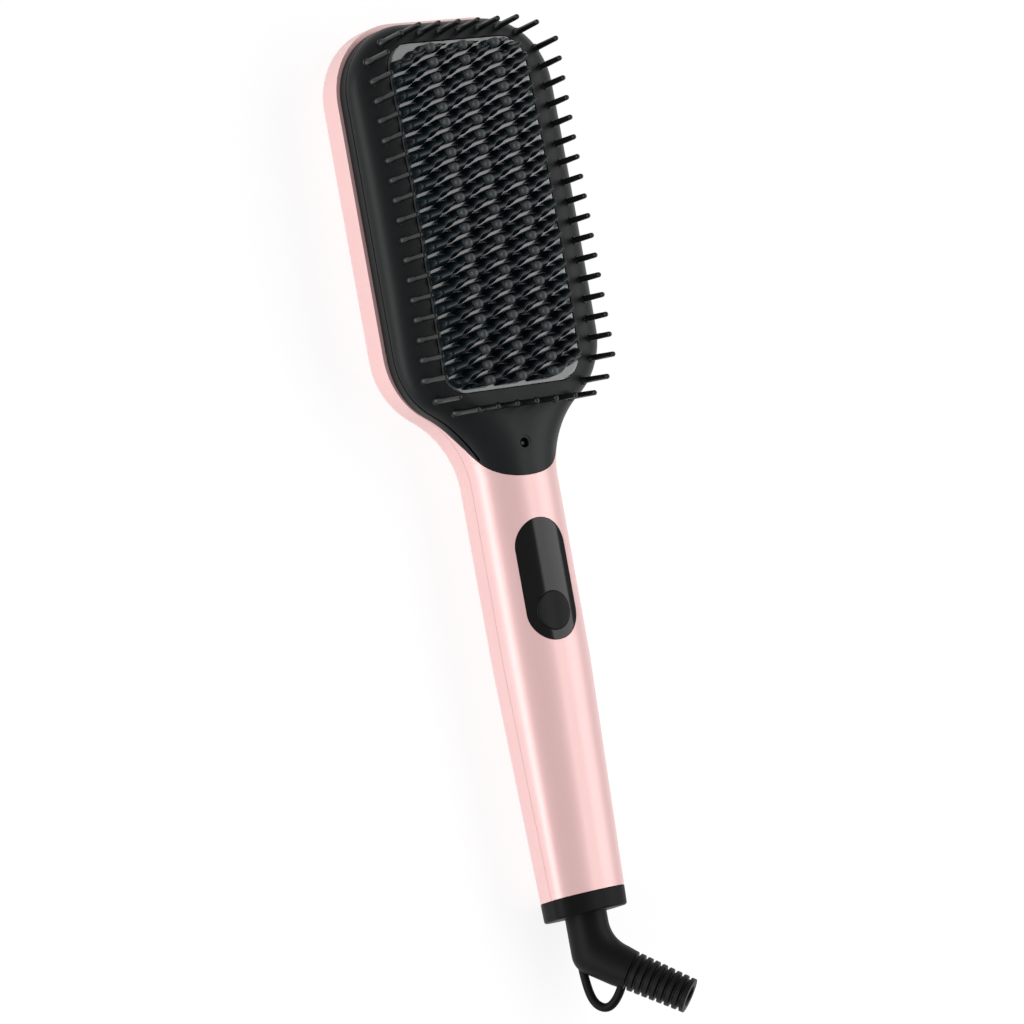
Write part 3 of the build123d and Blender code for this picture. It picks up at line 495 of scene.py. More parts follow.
# each finish: colour, its cloudy shade, roughness, then what differs from the plain look
finishLooks = {
    "pearlPink": ((247, 206, 204), (243, 199, 197), 0.4,
                  {"metallic": 0.25, "grainScale": 2500, "bump": 0.04, "coat": 0.4, "coatRoughness": 0.38}),
    "satinBlack": ((25, 27, 28), (20, 22, 23), 0.42,
                   {"specular": 0.22, "grainScale": 1600, "bump": 0.2}),
    "combBlack": ((17, 28, 32), (13, 23, 27), 0.24,
                  {"specular": 0.25, "grainScale": 900, "bump": 0.05}),
    "plateGloss": ((21, 30, 33), (17, 26, 29), 0.22,
                   {"specular": 0.85, "grainScale": 900, "bump": 0.05, "coat": 0.8, "coatRoughness": 0.12}),
    "postGrey": ((66, 72, 74), (56, 62, 64), 0.42,
                 {"specular": 0.45, "grainScale": 2500, "bump": 0.12}),
    "bristleBlack": ((20, 22, 23), (15, 17, 18), 0.33,
                     {"specular": 0.45, "grainScale": 2500, "bump": 0.1}),
    "smokedLens": ((9, 10, 9), (7, 8, 7), 0.14,
                   {"roughnessChange": 0.01, "specular": 0.34, "bump": 0.02}),
    "keyBlack": ((22, 23, 25), (18, 19, 21), 0.45,
                 {"specular": 0.14, "grainScale": 3000, "bump": 0.15}),
    "capBlack": ((17, 18, 17), (13, 14, 13), 0.48,
                 {"specular": 0.12, "grainScale": 1800, "bump": 0.25}),
    "softBlack": ((16, 17, 17), (12, 13, 13), 0.5,
                  {"specular": 0.18, "grainScale": 1400, "bump": 0.25}),
    "circuitGreen": ((22, 96, 58), (16, 78, 46), 0.35,
                     {"cloudScale": 300, "grainScale": 700, "bump": 0.2}),
    "partDark": ((40, 40, 44), (30, 30, 33), 0.5, {"bump": 0.2}),
    "capacitorYellow": ((214, 178, 60), (200, 160, 48), 0.4, {}),
    "ceramicWhite": ((228, 224, 214), (214, 208, 196), 0.6, {}),
    "frameGrey": ((92, 92, 90), (78, 78, 76), 0.55, {"bump": 0.2}),
    "zincSteel": ((176, 178, 180), (150, 152, 155), 0.32,
                  {"metallic": 1.0, "cloudScale": 500, "grainScale": 3000}),
    "bareAluminium": ((196, 198, 200), (178, 180, 184), 0.38,
                      {"metallic": 1.0, "cloudScale": 150, "grainScale": 2500}),
    "contactBrass": ((206, 166, 92), (184, 142, 70), 0.3, {"metallic": 1.0}),
    "siliconeWhite": ((222, 222, 218), (206, 206, 200), 0.6, {}),
}
finishes = {name: makeFinish(name, *look) for name, look in finishLooks.items()}


# a piece gets its finish and the body that carries it, and the nodes it stands for are hidden; the slot it
# is given is not used
def dress(piece, finish, carrier, slot, *replaced):
    piece.data.materials.clear()
    piece.data.materials.append(finishes[finish])
    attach(piece, carrier)
    if replaced:
        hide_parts(*replaced)


print("finishes made:", len(finishes))


screws = {
    "headX": 27.6, "headStations": (30.0, 96.0), "handleStations": (151.0, 231.5, 257.6),
    "counterbore": 2.4, "depth": 3.0, "shankHole": 1.35, "mouth": 2.62, "outer": 3.3,
    "lip": 0.02, "chamfer": 0.25, "bossStart": 1.0, "bossLength": 3.0, "cutPast": 1.0,
}
screwPlaces = [(side * screws["headX"], s) for side in (-1, 1) for s in screws["headStations"]]
screwPlaces += [(0.0, s) for s in screws["handleStations"]]
pill = {
    "width": 18.3, "length": 38.5, "start": 160.3, "clearance": 0.15, "lensWall": 1.5,
    "edgeBevel": 0.22, "rimBevel": 0.3, "margin": 0.9, "borderShare": 0.35, "crownWay": 1.3,
    "endRows": 14, "firstTurn": 0.2, "shellRows": (160, 204, 1.5), "lensRows": (170, 182, 1.5),
    "shellColumns": 25, "lensColumns": 15, "tipTurn": 1.35, "tipRows": 13,
}
pillTop = pill["start"] + pill["width"] / 2
buttonStation = pill["start"] + pill["length"] - pill["width"] / 2
# gaps at a seam and the least width, as parts of the way, then the millimetres by which the
# band ends short and in which the cover takes its place
seams = {"tongue": 0.004, "handle": 0.006, "band": 0.02, "least": 0.01,
         "bandShort": 0.2, "bandStep": 0.1}
ion = {"station": 136.6, "hole": 2.42, "cut": (18, 30)}


# stations of the rows: close together where the outline bends
def bodyStations(first, last, *extra):
    head = np.arange(body["cornerRadius"], body["neckStart"], body["headStep"])
    neck = np.linspace(body["neckStart"], neckEnd, body["neckRows"])
    handle = np.linspace(neckEnd, last, body["handleRows"])
    every = np.concatenate([head, neck, handle, *extra])
    return np.unique(np.round(every[(every >= first) & (every <= last)], 4))


# the joint with the end cap leans, so the last rows are pushed along by their height
def leanToCap(grid):
    shift = body["capSlant"] * (body["swivelLevel"] - grid[..., 2]) * taperShare(grid[..., 1])
    return np.stack([grid[..., 0], grid[..., 1] + shift, grid[..., 2]], -1)


# The rear shell runs from the back's middle round its edge and up the wall to the parting. The
# screw cups are turned profiles, set into round holes.
def makeRearShell():
    rows = makeRows(bodyStations(0, body["shellEnd"] - body["partingGap"]))
    rim = wayAtLevel(rows, body["rimHeight"] - body["partingGap"])[:, None]
    back = chain(backMiddle, (-2, 8), (-1, 8), (wallFoot, 12))
    way = np.hstack([np.broadcast_to(back, (len(rim), len(back))), rim * np.linspace(0, 1, 5)[1:]])
    shell = makeWall("rearShell", bothSides(leanToCap(sectionPoints(rows, way))),
                     body["wall"], body["edgeBevel"])
    mouth, bore, shank, outer = (screws[k] for k in ("mouth", "counterbore", "shankHole", "outer"))
    drill(shell, [(x, s, mouth) for x, s in screwPlaces],
          -screws["cutPast"], body["wall"] + screws["cutPast"])
    floor, bossStart = screws["depth"], screws["bossStart"]
    bossEnd = floor + screws["bossLength"]
    profile = [(mouth, screws["lip"]), (bore, screws["chamfer"]), (bore, floor), (shank, floor),
               (shank, bossEnd), (outer, bossEnd), (outer, bossStart), (mouth, bossStart),
               (mouth, screws["lip"])]
    cups = closedMesh("cups", [turnedGrid(profile, x, s) for x, s in screwPlaces])
    work = bmesh.new()
    work.from_mesh(cups.data)
    work.from_mesh(shell.data)
    work.to_mesh(shell.data)
    work.free()
    bpy.data.objects.remove(cups)
    shadeSmooth(shell.data)
    dress(shell, "pearlPink", "housing", "pink_shell", "rear_shell")


# half the width of the panel's opening at a station, grown by a clearance
def pillHalf(station, grow):
    past = np.maximum(np.maximum(pillTop - station, station - buttonStation), 0)
    return np.sqrt(np.clip((pill["width"] / 2 + grow) ** 2 - past ** 2, 0, None))


# stations spaced evenly round the two ends of the panel
def pillStations(grow):
    turn = np.append(0, np.linspace(pill["firstTurn"], math.pi / 2, pill["endRows"]))
    swing = (pill["width"] / 2 + grow) * np.cos(turn)
    return np.concatenate([pillTop - swing, buttonStation + swing])


# The handle's front runs from the parting up to the middle, to the tongue's edge or to the
# panel's opening. Low down its columns are even along the way, and on the crown, from a border
# beside the opening inwards, they are even across.
def makeHandleFront():
    gap, count = body["partingGap"], pill["shellColumns"]
    tipEnd = body["tongueTip"] + 2 * gap
    turn = np.append(np.linspace(0, pill["tipTurn"], pill["tipRows"]), math.pi / 2)
    tip = body["tipRound"] + (tipEnd - body["tipRound"]) * np.sin(turn)
    rows = sideRows(bodyStations(body["tongueStart"], body["shellEnd"] - gap, tip,
                                 pillStations(pill["clearance"]), np.arange(*pill["shellRows"])))
    low = wayAtLevel(rows, body["rimHeight"] + gap)
    besideTongue = pinkWay({**rows, "v": rows["v"] - 2 * gap}) - seams["handle"]
    top = np.where(rows["v"] < tipEnd, besideTongue, frontMiddle)
    hole = pillHalf(rows["v"], pill["clearance"])
    top = np.where(hole > 0, wayAtDistance(rows, hole), top)
    keep = top > low + seams["least"]
    rows, low, top = pickRows(rows, keep), low[keep], top[keep]
    topOut = sectionPoints(rows, top[:, None])[:, 0, 0]
    borderOut = np.maximum(pill["width"] / 2 + pill["margin"],
                           topOut + pill["borderShare"] * (rows["reach"] - topOut))
    onCrown = top > pill["crownWay"]
    border = np.where(onCrown, wayAtDistance(rows, borderOut), (low + top) / 2)
    inner = np.where(onCrown[:, None], wayAtDistance(rows, spread(borderOut, topOut, count)),
                     spread(border, top, count))
    way = np.hstack([spread(low, border, count)[:, :-1], inner])
    shell = makeWall("handleFrontShell", bothSides(leanToCap(sectionPoints(rows, way))),
                     body["wall"], pill["rimBevel"])
    evenShading(shell)
    dress(shell, "pearlPink", "housing", "pink_shell", "handle_front_shell")


# the band runs from the parting, or the tongue's edge, up to its own upper edge
def makeHeadBand():
    last = body["bandEnd"] - seams["bandShort"]
    rows = makeRows(bodyStations(0, last, [last]))
    low = np.where(rows["v"] > body["tipRound"], pinkWay(rows) + seams["tongue"],
                   wayAtLevel(rows, pinkLevel(rows["v"]) + body["partingGap"]))
    high = bandWay(rows) - seams["band"]
    keep = high > low + seams["tongue"]
    way = spread(low[keep], high[keep], body["bandColumns"])
    band = makeWall("headBand", bothSides(insetPoints(pickRows(rows, keep), way)),
                    body["wall"], body["edgeBevel"])
    dress(band, "satinBlack", "housing", "black_shell", "head_band")


# Distance from a row's centre to the comb's opening, a rectangle with round corners. Rows round
# the head's top meet its top, its side or its corner's circle, and the others its width there.
def openingDistance(rows, grow):
    half = plate["width"] / 2 + grow
    corner = plate["corner"] + grow
    first, last = plate["start"] - grow, plate["start"] + plate["length"] + grow
    middleX, topV, bottomV = half - corner, first + corner, last - corner
    toX, toV = middleX - rows["x"], topV - rows["v"]
    along = rows["dx"] * toX + rows["dv"] * toV
    root = along ** 2 - (toX ** 2 + toV ** 2 - corner ** 2)
    onCorner = along + np.sqrt(np.clip(root, 0, None))
    onTop = (rows["v"] - first) / np.maximum(-rows["dv"], tiny)
    onSide = (half - rows["x"]) / np.maximum(rows["dx"], tiny)
    turned = np.where(rows["x"] + rows["dx"] * onTop <= middleX, onTop,
                      np.where(rows["v"] + rows["dv"] * onSide >= topV, onSide, onCorner))
    past = np.clip(rows["v"] - bottomV, 0, corner)
    straight = half - corner + np.sqrt(corner ** 2 - past ** 2) - rows["x"]
    return np.where(rows["dv"] < -tiny, turned, straight)


# The cover runs from the band, or the tongue's edge, in to the comb's opening. Below the opening
# it ends at a strip that narrows with the tongue, and a second grid fills that strip.
def makeFaceCover():
    grow, corner = plate["groove"], plate["corner"] + plate["groove"]
    last = plate["start"] + plate["length"] + grow
    tip = body["tipRound"] + (body["tongueTip"] - body["tipRound"]) * np.sin(
        quarterTurn(body["tipRows"]))
    bend = last - corner + corner * np.sin(quarterTurn(body["coverBendRows"]))
    bandLast = body["bandEnd"] - seams["bandShort"]
    change = [bandLast, bandLast + seams["bandStep"]]
    rows = makeRows(bodyStations(0, body["tongueTip"], bend, tip, change))
    overPink = pinkWay(rows) + seams["tongue"]
    overBand = np.maximum(bandWay(rows) + seams["band"], overPink)
    pastBand = rows["v"] > bandLast + seams["bandStep"] / 2
    low = np.minimum(np.where(pastBand, overPink, overBand), frontMiddle)
    stripShare = (plate["width"] / 2 - plate["corner"]) / partingHalf(last)
    strip = sectionPoints(rows, low[:, None])[:, 0, 0] * stripShare
    inner = np.where(rows["v"] > last + tiny, strip, openingDistance(rows, grow))
    ring = insetPoints(rows, spread(low, wayAtDistance(rows, inner), body["coverColumns"]))
    seat = rows["v"] >= last - tiny
    across = np.linspace(-1, 1, body["stripColumns"])
    lane = pickRows(rows, seat)
    middle = sectionPoints(lane, wayAtDistance(lane, np.abs(across) * ring[seat][:, -1, :1]))
    middle[..., 0] *= np.sign(across)
    cover = makeWall("faceCover", bothSides(ring) + [middle], body["wall"], body["edgeBevel"])
    drill(cover, [(0.0, ion["station"], ion["hole"])], *ion["cut"])
    evenShading(cover)
    dress(cover, "satinBlack", "housing", "black_shell", "face_cover")


makeRearShell()
makeHandleFront()
makeHeadBand()
makeFaceCover()
print("shells made")


comb = {
    "columnPitch": 12.0, "columns": 3, "rowPitch": 4.77, "rows": 23,
    "postRadius": 1.5, "postHeight": 6.8, "postDome": 1.45, "postSunk": 0.5,
    "baseWidth": 4.0, "height": 4.55, "foot": -0.6, "inset": 0.9, "endRound": 1.3, "step": 0.4,
    "smoothing": 5, "finCrease": 50, "postCrease": 60, "postSides": 24, "domeRings": 7,
    # distance across from a column of posts, rise towards the head's top
    "climb": ((-1.9, -0.64), (-0.9, -0.29), (0.5, 0.16), (4.0, 0.96), (4.8, 1.03), (5.6, 2.13),
              (6.7, 2.9), (8.9, 3.13)),
    # a fin's section: share of the half width, share of the height
    "section": ((1.0, 0.0), (0.95, 0.2), (0.8, 0.52), (0.56, 0.82), (0.32, 0.95), (0.12, 1.0)),
}


# a rectangle with round corners that follows the face's bow
def makeCombPlate():
    half, corner = plate["width"] / 2, plate["corner"]
    first, last = plate["start"], plate["start"] + plate["length"]
    swing = corner * (1 - np.cos(quarterTurn(plate["cornerRows"])))
    side = np.linspace(first + corner, last - corner, plate["rows"])[1:-1]
    stations = np.concatenate([first + swing, side, (last - swing)[::-1]])
    past = np.maximum(np.maximum(first + corner - stations, stations - last + corner), 0)
    width = half - corner + np.sqrt(np.clip(corner ** 2 - past ** 2, 0, None))
    x = width[:, None] * np.linspace(-1, 1, plate["columns"])
    places = np.broadcast_arrays(x, stations[:, None], frontLevel(stations)[:, None])
    piece = makeWall("combPlate", [np.stack(places, -1)], plate["thickness"], plate["edgeBevel"])
    dress(piece, "plateGloss", "housing", "comb_black", "comb_plate")


def postStation(row):
    return plate["start"] + plate["length"] / 2 + (row - (comb["rows"] - 1) / 2) * comb["rowPitch"]


# Each fin winds across the plate and climbs one row of posts per column. Its section is a
# rounded ridge, and within a fixed distance of the plate's rim it drops as a quarter circle.
def makeFins():
    middleColumn = (comb["columns"] - 1) / 2
    half, corner = plate["width"] / 2 - comb["inset"], plate["corner"] - comb["inset"]
    first, last = plate["start"] + comb["inset"], plate["start"] + plate["length"] - comb["inset"]
    x = np.linspace(-half, half, int(2 * half / comb["step"]) + 1)
    past = np.clip(np.abs(x) - (half - corner), 0, corner)
    bite = corner - np.sqrt(corner ** 2 - past ** 2)
    top, bottom = (first + bite)[:, None], (last - bite)[:, None]
    spots = np.array([((column - middleColumn) * comb["columnPitch"] + across,
                       (column - middleColumn) * comb["rowPitch"] + rise)
                      for column in range(-2, comb["columns"] + 2) for across, rise in comb["climb"]])
    rise = np.interp(x, spots[:, 0], spots[:, 1])
    kernel, rim = np.hanning(comb["smoothing"]), comb["smoothing"] // 2
    rise[rim:-rim] = np.convolve(rise, kernel / kernel.sum(), "valid")
    out, up = np.array(comb["section"]).T
    across = np.concatenate([out, -out[::-1]]) * comb["baseWidth"] / 2
    height = np.concatenate([up, up[::-1]]) * comb["height"]
    grids = []
    for number in range(comb["rows"] + comb["columns"] - 1):
        middle = (postStation(number - middleColumn) - rise)[:, None]
        station = np.clip(middle + across, top, bottom)
        level = np.interp(middle - station, -across, height)
        edge = np.minimum(np.minimum(station - top, bottom - station), (half - np.abs(x))[:, None])
        share = np.clip(edge / comb["endRound"], 0, 1)
        level = level * np.sqrt(1 - (1 - share) ** 2)
        level[:, [0, -1]] = comb["foot"]
        grids.append(np.stack([x[:, None] + 0 * station, station, frontLevel(station) + level], -1))
    fins = closedMesh("heatingFins", grids)
    shadeSmooth(fins.data, comb["finCrease"])
    dress(fins, "combBlack", "housing", "comb_black", "heating_fins")


# a post is a round pin with a domed top, sunk a little into the plate
def makePosts():
    radius, height, dome = comb["postRadius"], comb["postHeight"], comb["postDome"]
    bend = quarterTurn(comb["domeRings"])
    rounding = zip(radius - dome + dome * np.cos(bend), height - dome + dome * np.sin(bend))
    profile = [(radius, -comb["postSunk"]), *rounding, (0, height)]
    columns = (np.arange(comb["columns"]) - (comb["columns"] - 1) / 2) * comb["columnPitch"]
    grids = [turnedGrid(profile, x, postStation(row), frontLevel(postStation(row)), comb["postSides"])
             for row in range(comb["rows"]) for x in columns]
    posts = closedMesh("combPosts", grids, comb["postCrease"])
    dress(posts, "postGrey", "housing", "comb_black", "comb_posts")


makeCombPlate()
makeFins()
makePosts()
print("comb made")


bristles = {
    "baseRadius": 1.0, "tipRadius": 0.86, "tipLevel": 36.0, "rootLevel": 17.5, "sunk": 0.5,
    "collarRadius": 1.45, "collarHeight": 0.12, "slope": 0.25, "waist": 0.95, "waistShare": 0.4,
    "sideX": 31.5, "sideStart": 13.2, "sidePitch": 6.25, "sideCount": 17,
    "corner": (27.8, 119.8), "rowPitch": 7.3, "topStation": 5.4, "topCount": 6,
    "topCorner": (25.4, 7.6), "bottomStation": 124.3, "bottomCount": 7, "fan": 3.0, "crease": 60,
    "sides": 14, "tipRings": 5,
}


# places (x, station, lean) of each strip's bristles; they fan out from the plate's middle
def bristleSpots():
    spots = {"left": [], "right": [], "top": [], "bottom": []}
    middle, half = plate["start"] + plate["length"] / 2, plate["length"] / 2
    fan, corner, topCorner = bristles["fan"], bristles["corner"], bristles["topCorner"]
    for side, strip in ((-1, "left"), (1, "right")):
        stations = bristles["sideStart"] + np.arange(bristles["sideCount"]) * bristles["sidePitch"]
        spots[strip] = [(side * bristles["sideX"], s, fan * (middle - s) / half) for s in stations]
        spots[strip].append((side * corner[0], corner[1], -fan))
        spots["top"].append((side * topCorner[0], topCorner[1], fan))
    for strip, sign in (("top", 1), ("bottom", -1)):
        count = bristles[strip + "Count"]
        spots[strip] += [((column - (count - 1) / 2) * bristles["rowPitch"],
                          bristles[strip + "Station"], sign * fan) for column in range(count)]
    return spots


# height of the front at any place: the section's crown, or the rounded border near the top
def faceHeight(x, station):
    out, station, shape = np.abs(np.ravel(x)), np.ravel(station), np.shape(x)
    radius = body["cornerRadius"]
    rows = sideRows(np.maximum(station, radius))
    awayX = np.maximum(out - body["headWidth"] / 2 + radius, 0)
    awayV = np.maximum(radius - station, 0)
    widening = (body["sideCrown"] - body["topCrown"]) * np.sin(np.arctan2(awayX, awayV)) ** 2
    nearTop = station < radius
    crown = np.where(nearTop, body["topCrown"] + widening, rows["crown"])
    past = np.where(nearTop, np.hypot(awayX, awayV) - radius, out - rows["reach"]) + crown
    share = np.clip(past / crown, 0, 1)
    rise = crownStart(station)
    return (rise + (frontLevel(station) - rise) * np.sqrt(1 - share ** 2)).reshape(shape)


# a bristle: a straight taper with a round tip, leaning along the brush about its base
def bristleGrid(x, station, lean):
    ground = float(faceHeight(x, station))
    top = bristles["tipLevel"] - ground
    base, tip, collar = bristles["baseRadius"], bristles["tipRadius"], bristles["collarRadius"]
    lift, sunk = bristles["collarHeight"], -bristles["sunk"]
    bend = quarterTurn(bristles["tipRings"])
    profile = [(base, bristles["rootLevel"] - ground), (base, sunk), (collar, sunk), (collar, lift),
               (base, lift + bristles["slope"]), (base * bristles["waist"], top * bristles["waistShare"]),
               *zip(tip * np.cos(bend), top - tip + tip * np.sin(bend))]
    across, along, up = np.moveaxis(turnedGrid(profile, sides=bristles["sides"]), -1, 0)
    cosine, sine = math.cos(math.radians(lean)), math.sin(math.radians(lean))
    return np.stack([x + across, station + along * cosine - up * sine,
                     ground + up * cosine + along * sine], -1)


for stripName, stripSpots in bristleSpots().items():
    strip = closedMesh("bristleStrip" + stripName.capitalize(),
                       [bristleGrid(*spot) for spot in stripSpots], bristles["crease"])
    dress(strip, "bristleBlack", "housing", "bristle_black", "bristle_strip_" + stripName)
print("bristles made")


button = {
    "radius": 6.1, "gap": 0.15, "dish": 0.35, "edge": 0.35, "depth": 3.0, "proud": 0.25,
    "topRings": 14, "edgeRings": 6, "sides": 64, "holeRows": 25, "crease": 40,
}


# the lens spans from the button's hole to the panel's outline and follows the handle's crown
def makeLens():
    radius = button["radius"] + button["gap"]
    swing = radius * np.cos(np.linspace(0, math.pi, button["holeRows"]))
    every = np.concatenate([pillStations(0), buttonStation + swing, np.arange(*pill["lensRows"])])
    stations = np.unique(np.round(every, 4))
    inner = np.sqrt(np.clip(radius ** 2 - (stations - buttonStation) ** 2, 0, None))
    x = spread(inner, pillHalf(stations, 0), pill["lensColumns"])
    station = np.broadcast_to(stations[:, None], x.shape)
    grid = np.stack([x, station, faceHeight(x, station)], -1)
    lens = makeWall("displayLens", bothSides(grid), pill["lensWall"], pill["edgeBevel"], 3)
    evenShading(lens)
    dress(lens, "smokedLens", "housing", "lens_black", "display_lens")


# The key's top follows the handle's crown. It is dished by the square of the distance from its
# middle and has a quarter circle for its border.
def makeButton():
    edge, flat = button["edge"], button["radius"] - button["edge"]
    bend = quarterTurn(button["edgeRings"])[1:]
    ring = np.linspace(0, flat, button["topRings"])
    reach = np.concatenate([ring, flat + edge * np.sin(bend), [button["radius"]]])
    drop = np.concatenate([button["dish"] * (1 - (ring / flat) ** 2), edge * (1 - np.cos(bend)),
                           [button["depth"]]])
    turn = fullTurn(button["sides"])[:, None]
    x = reach * np.cos(turn)
    station = buttonStation + reach * np.sin(turn)
    level = faceHeight(x, station) + button["proud"] - drop
    level[:, -1] = body["handleFront"] - button["depth"]
    grid = np.stack([x, station, level], -1)
    floor = np.stack([grid[:, -1] * [0, 1, 1], grid[:, -1]], 1)
    floor[:, 0, 1] = buttonStation
    key = closedMesh("powerButton", [grid, floor], button["crease"])
    dress(key, "keyBlack", "power_button", "key_black", "power_button")


makeLens()
makeButton()
print("panel made")


cap = {
    "height": 6.2, "edge": 0.8, "edgeLead": 0.1, "edgeRings": 6, "wellDepth": 4.0,
    "wellShare": 0.6, "faceShare": 0.7,
    # the upper end: distance down from the cap's start, distance in from the outline
    "start": ((1.2, 2.5), (0.0, 2.5), (0.0, 0.18), (0.12, 0.0), (2.5, 0.0)),
}
elbow = {
    "bossRadius": 6.7, "bossGap": 0.25, "bossStart": 281.2, "bossSunk": 1.5, "radius": 6.3,
    "pivotStation": 297.7, "angle": 58.0, "turn": 48.0, "reach": 13.0, "innerBend": 10.3,
    "endDish": 0.6, "endShare": 0.15, "journalRadius": 4.4, "journalStart": 262.2, "crease": 45,
    "bendRows": 25, "sideRows": 6, "sides": 56,
}


# one section of the body as a closed loop, from the middle of the back round to it again,
# drawn in towards the swivel's axis
def sectionLoop(station, inset):
    way = chain(backMiddle, (-1, 6), (wallFoot, 12), (crownFoot, 3), (crownTop, 24), (frontMiddle, 3))
    half = sectionPoints(sideRows([station]), way[None, :])[0]
    loop = np.concatenate([half, mirrored(half)[::-1][1:]])
    middle = np.array([0, station, body["swivelLevel"]])
    size = np.linalg.norm(loop - middle, axis=1, keepdims=True)
    return loop - (loop - middle) / size * inset


# the cap carries the body's section on, rounds over its edge and ends in a well for the boss
def makeEndCap():
    start, end = body["shellEnd"] + body["partingGap"], body["shellEnd"] + cap["height"]
    edge, axis = cap["edge"], np.array([0, 0, body["swivelLevel"]])
    bend = quarterTurn(cap["edgeRings"])
    steps = [(start + down, inset) for down, inset in cap["start"]]
    steps += [(end - edge - cap["edgeLead"], 0.0),
              *zip(end - edge + edge * np.sin(bend), edge * (1 - np.cos(bend)))]
    loops = [sectionLoop(station, inset) for station, inset in steps]
    for loop, (station, _) in zip(loops, steps):
        loop[:, 1] = station
    away = loops[-1] - axis
    turn = np.arctan2(away[:, 2], away[:, 0])
    radius = elbow["bossRadius"] + elbow["bossGap"]
    ring = axis + np.stack([radius * np.cos(turn), end + 0 * turn, radius * np.sin(turn)], -1)
    deep = ring - [0, cap["wellDepth"], 0]
    core = axis + (deep - axis) * [cap["wellShare"], 1, cap["wellShare"]]
    face = loops[-1] + (ring - loops[-1]) * cap["faceShare"]
    grid = np.array([*loops, face, ring, deep, core])
    grid[..., 1] += body["capSlant"] * (body["swivelLevel"] - grid[..., 2])
    piece = gridMesh("endCap", [grid], [0, headTop - (start + end) / 2, body["swivelLevel"]])
    dress(piece, "capBlack", "housing", "black_shell", "end_cap")


# points in the elbow's plane: out to the relief's side, down the brush, and across the plane
def elbowPoint(out, down, across=0.0):
    turn = math.radians(elbow["turn"])
    out, down, across = np.broadcast_arrays(out, down, across)
    return np.stack([out * math.cos(turn) + across * math.sin(turn), down,
                     body["swivelLevel"] + out * math.sin(turn) - across * math.cos(turn)], -1)


# The elbow is a row of ellipses between two rails: outside, a straight side, an arc about the
# pivot and a straight underside; inside, a wide arc that joins the boss to the relief.
def makeElbow():
    angle = math.radians(elbow["angle"])
    along = np.array([math.sin(angle), math.cos(angle)])
    under = np.array([-math.cos(angle), math.sin(angle)])
    pivot = np.array([0.0, elbow["pivotStation"]])
    boss, bend, reach = elbow["bossRadius"], elbow["innerBend"], elbow["reach"]
    start = pivot[1] - (boss + bend) * math.tan(angle / 2)
    centre = np.array([boss + bend, start])
    turn = np.linspace(0, angle, elbow["bendRows"])
    ray = np.stack([-np.cos(turn), np.sin(turn)], -1)
    onSide = (centre[0] + boss) / np.cos(turn)
    onUnder = (boss - under @ (centre - pivot)) / (ray @ under)
    gap = pivot - centre
    near = ray @ gap
    onArc = near + np.sqrt(np.clip(near ** 2 - gap @ gap + boss ** 2, 0, None))
    sideOk = centre[1] + onSide * np.sin(turn) <= pivot[1]
    underOk = ((centre + ray * onUnder[:, None] - pivot) @ along) >= 0
    outerReach = np.where(sideOk, onSide, np.where(underOk, onUnder, onArc))
    begin = elbow["bossStart"] - elbow["bossSunk"]
    straight = np.linspace(begin, start, elbow["sideRows"])[:-1]
    rails = []
    for sign, bendReach in ((1, bend), (-1, outerReach[:, None])):
        side = np.stack([sign * boss + 0 * straight, straight], -1)
        arc = centre + ray * bendReach
        end = pivot + along * reach - sign * under * elbow["radius"]
        rails.append(np.concatenate([side, arc, [(arc[-1] + end) / 2, end]]))
    middle, arm = (rails[0] + rails[1]) / 2, (rails[0] - rails[1]) / 2
    depth = np.linspace(0, 1, len(middle)) ** 2 * (elbow["radius"] - boss) + boss
    around = fullTurn(elbow["sides"])
    out = middle[:, :1] + arm[:, :1] * np.cos(around)
    down = middle[:, 1:] + arm[:, 1:] * np.cos(around)
    grid = elbowPoint(out, down, depth[:, None] * np.sin(around))
    core = grid[:1].mean(1, keepdims=True)
    first = core + (grid[:1] - core) * (elbow["journalRadius"] / boss)
    journal = np.array([0, elbow["journalStart"] - begin, 0])
    lastCore = elbowPoint(*(pivot + along * (reach - elbow["endDish"])))
    end = grid[-1:] * elbow["endShare"] + lastCore * (1 - elbow["endShare"])
    grid = np.concatenate([core + 0 * first + journal, first + journal, first, grid, end,
                           lastCore + 0 * end])
    piece = closedMesh("swivelElbow", [grid], elbow["crease"])
    dress(piece, "capBlack", "swivel", "black_shell", "swivel_elbow")


relief = {
    "gap": 0.05, "reach": 33.4, "endRadius": 5.6, "rows": 221, "ribPitch": 2.5, "ribWidth": 1.55,
    "ribDepth": 0.95, "ribRounding": 0.18, "backRadius": 4.0, "backStep": 0.3, "lipStep": 0.35,
    "bore": 3.3, "boreChamfer": (0.2, 0.25), "boreEnd": 6.3, "boreFloor": 0.01, "crease": 50,
    "sides": 56,
}


# a profile of (place along the relief's axis, radius) turned about that axis
def reliefGrid(profile):
    angle = math.radians(elbow["angle"])
    place, radius = np.asarray(profile, float).T
    around = fullTurn(relief["sides"])[:, None]
    out = place * math.sin(angle) - radius * np.cos(around) * math.cos(angle)
    down = elbow["pivotStation"] + place * math.cos(angle) + radius * np.cos(around) * math.sin(angle)
    return elbowPoint(out, down, radius * np.sin(around))


